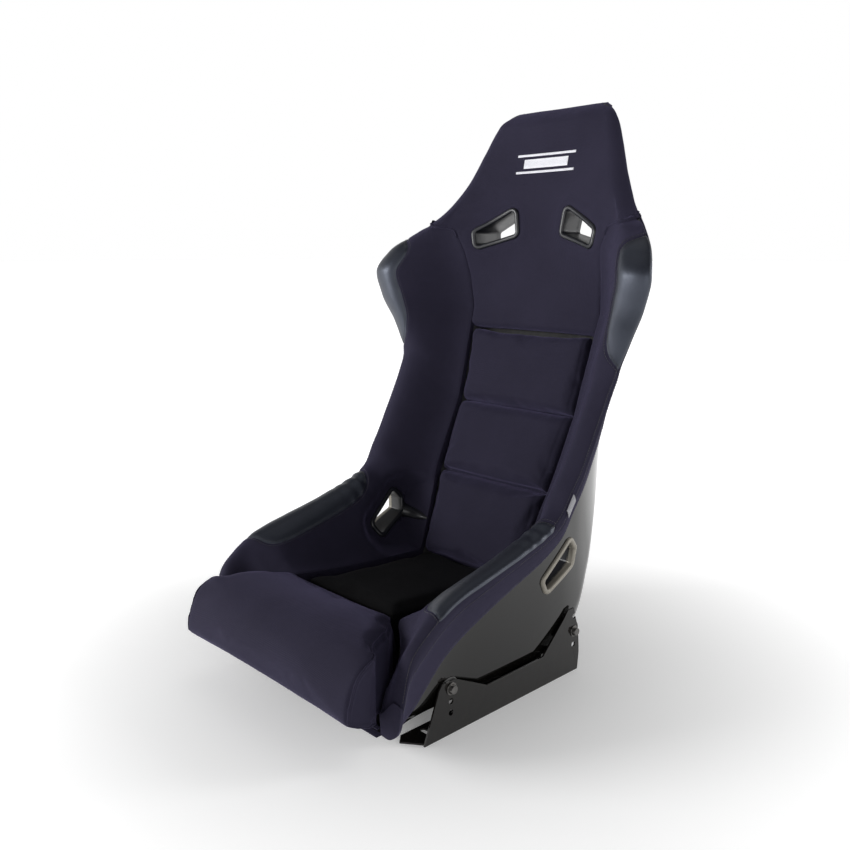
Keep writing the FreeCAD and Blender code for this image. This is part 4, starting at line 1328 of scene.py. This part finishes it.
def roll_pad(points, index):
    """Stretches a back cushion to its neighbours and rolls its front edges back into the creases."""
    foot, top = np.array(CREASES[index]), np.array(CREASES[index + 1])
    size = np.linalg.norm(top - foot)
    along = (top - foot) / size
    out = np.array((-along[1], along[0]))
    place = (points[:, 1:] - foot) @ along
    place = (place - size / 2) * (1 + 7.0 / size) + size / 2
    front = (points[:, 1:] - foot) @ out
    half = pad_half(index, place / size)
    across = points[:, 0] * 1.03
    for edge, radius, depth in ((place, 19, 12), (size - place, 19, 12), (half + 3 - np.abs(across), 16, 8)):
        near = np.clip(1 - edge / radius, 0, 1)
        front -= depth * (1 - np.sqrt(1 - near**2)) * smoothstep((front + 22) / 14)
    yz = foot + place[:, None] * along + front[:, None] * out
    return np.column_stack((across, yz))


def pad_seams(points, index):
    """End seams of a back cushion, and a few puckers along its upper edge."""
    foot, top = np.array(CREASES[index]), np.array(CREASES[index + 1])
    share = (points[:, 1:] - foot) @ (top - foot) / ((top - foot) @ (top - foot))
    seam = groove(np.abs(points[:, 0]) - pad_half(index, share) + 11, 1.0, 2.0)
    puckers = np.exp(-((1 - share) / 0.13)**2) * ripple(points * (1, 0.2, 0.2), 16, 1.1, index + 40.0)
    return seam + puckers


def thigh_seams(points):
    """Seam round each end panel of the thigh cushion; the panel itself is drawn in."""
    outline = smooth_outline(THIGH_SIDE)
    inside = distance_to(outline, points[:, 1:])
    end = thigh_half(points[:, 1]) - np.abs(points[:, 0])
    panel = smoothstep((9 - end) / 6) * smoothstep((inside - 6) / 22)
    return groove(end - 5.0, 1.8, 2.8) * (inside < 14) - 1.5 * panel


def flatten_ends(points):
    """Flat end panels of the thigh cushion, a little inside its rounded rim."""
    inside = distance_to(smooth_outline(THIGH_SIDE), points[:, 1:])
    reach = thigh_half(points[:, 1]) + 2.0 - 5.0 * smoothstep((inside - 3) / 9)
    return np.column_stack((np.clip(points[:, 0], -reach, reach), points[:, 1:]))


def make_welts(cushion):
    """Thin welt where each end panel of the thigh cushion is sewn in."""
    form = bmesh.new()
    form.from_mesh(cushion.data)
    tree = BVHTree.FromBMesh(form)
    form.free()
    outline = offset_outline(smooth_outline(THIGH_SIDE), 3.5)
    outline = resample(np.vstack((outline, outline[:1])), 161)
    for side, label in ((1, "left"), (-1, "right")):
        path = []
        for y, z in outline:
            hit = tree.find_nearest(Vector((side * (thigh_half(y) - 1.5), y, z)) * MM)[0]
            path.append(np.array(hit) / MM)
        settle(tube("thigh_welt_" + label, np.array(path[:-1]), 1.6), "thigh_cushion", "seat_fabric")


def tube(name, path, radius):
    """Closed tube along a closed path."""
    sides = 8
    ahead = np.roll(path, -1, axis=0) - np.roll(path, 1, axis=0)
    ahead /= np.maximum(np.linalg.norm(ahead, axis=1, keepdims=True), 1e-9)
    across = np.cross(ahead, (1.0, 0, 0))
    across /= np.maximum(np.linalg.norm(across, axis=1, keepdims=True), 1e-9)
    third = np.cross(ahead, across)
    points = []
    for k in range(len(path)):
        for side in range(sides):
            angle = 2 * math.pi * side / sides
            points.append(path[k] + radius * (across[k] * math.cos(angle) + third[k] * math.sin(angle)))
    return new_piece(name, points, ring_faces(len(path), sides, closed=True), FABRIC)


def thigh_half(y):
    """Half width of the thigh cushion, drawn in between the bolster ends."""
    return np.interp(y, (-300, -268, -260, -254, -248, -240, -225, -195, -147),
                     (213, 213, 210, 203, 193, 186, 179, 164, 118))


def thigh_block():
    """Start shape of the thigh cushion: its side view swept across, tapered to the base cushion."""
    outline = smooth_outline(THIGH_SIDE)
    outline = resample(np.vstack((outline, outline[:1])), 91)[:-1]
    points = [(side * thigh_half(y), y, z) for side in (-1, 1) for y, z in outline]
    block = new_piece("thigh_block", points, ring_faces(2, len(outline)), FABRIC)
    form = bmesh.new()
    form.from_mesh(block.data)
    bmesh.ops.triangulate(form, faces=form.faces)
    mesh = bpy.data.meshes.new("thigh_start")
    form.to_mesh(mesh)
    form.free()
    discard(block)
    return mesh


def keep_behind(points, tree, side):
    """Moves points that come through a cover, or close to it, back to a gap behind it."""
    for k, point in enumerate(points):
        place, normal, _, reach = tree.find_nearest(Vector((side * point[0], point[1], point[2])), 30.0)
        if place is None:
            continue
        normal = np.array(normal)
        ahead = float((point * (side, 1, 1) - np.array(place)) @ normal)
        if ahead > -FOAM_GAP and abs(ahead) > 0.7 * reach - 0.5:
            points[k] = point - normal * (side, 1, 1) * (ahead + FOAM_GAP)


def make_foams(side_tree, head):
    """Foam blocks inside the covers, with softened edges and an open-cell surface."""
    head_tree = tree_of(head)
    for name in ("lower_bolster_foam_left", "lower_bolster_foam_right", "upper_bolster_foam_left",
                 "upper_bolster_foam_right", "head_foam", "back_foam", "base_foam", "front_foam"):
        piece = remeshed(name + "_block", nodes[name].data, 7.0, 0.6, rounding=2)
        points = vertex_values(piece.data) / MM
        if name.startswith("lower"):
            near = distance_to(slot_outline(LAP_SLOT, 0), points[:, 1:])
            weight = smoothstep((near + 50) / 40) * (points[:, 2] > 110)
            inner = dent_level(points[:, 2]) + 6
            size = np.abs(points[:, 0])
            points[:, 0] = np.sign(points[:, 0]) * (size + weight * np.maximum(inner - size, 0))
        if name == "back_foam":
            points[:, 2] += 17 * smoothstep((points[:, 2] - 490) / 30)
        if "bolster" in name:
            keep_behind(points, side_tree, 1 if name.endswith("left") else -1)
        if name == "head_foam" or name.startswith("upper"):
            keep_behind(points, head_tree, 1)
        set_coordinates(piece.data, points * MM)
        dress(piece, FOAM, SOFT_SHARP)
        settle(piece, "root", "foam", name, fill=0.9)


# ---------------------------------------------------------------- carried-over metal parts
def round_edges(node, width, material):
    piece = nodes[node]
    piece.data.materials.clear()
    piece.data.materials.append(material)
    weld = piece.modifiers.new("weld", "WELD")
    weld.merge_threshold = 0.00002
    bevel = piece.modifiers.new("edges", "BEVEL")
    bevel.width = width * MM
    bevel.segments = 3
    bevel.limit_method = "ANGLE"
    bevel.angle_limit = math.radians(35)
    flat = piece.modifiers.new("flat", "WEIGHTED_NORMAL")
    flat.weight = 100
    flat.keep_sharp = True
    piece.data.shade_smooth()


def dress_cad_nodes():
    for name in ("side_bracket_left", "side_bracket_right"):
        round_edges(name, 0.7, PAINT)
    round_edges("bracket_bolts", 0.35, STEEL)
    round_edges("bracket_washers", 0.3, STEEL)
    round_edges("mount_inserts", 0.2, STEEL)
    for name in nodes:
        if name.endswith("_strips"):
            nodes[name].data.materials.clear()
            nodes[name].data.materials.append(LOOP)


# ---------------------------------------------------------------- build
cloth_grid, cloth_tree = make_side_covers()
make_gussets(cloth_grid)
head_surface = make_head_cover()
shell_surface = make_shell()
make_front_covers()
make_bezels(cloth_tree, head_surface, shell_surface)
make_emblem(head_surface)
make_side_tag()
make_cushions()
make_foams(cloth_tree, head_surface)
dress_cad_nodes()
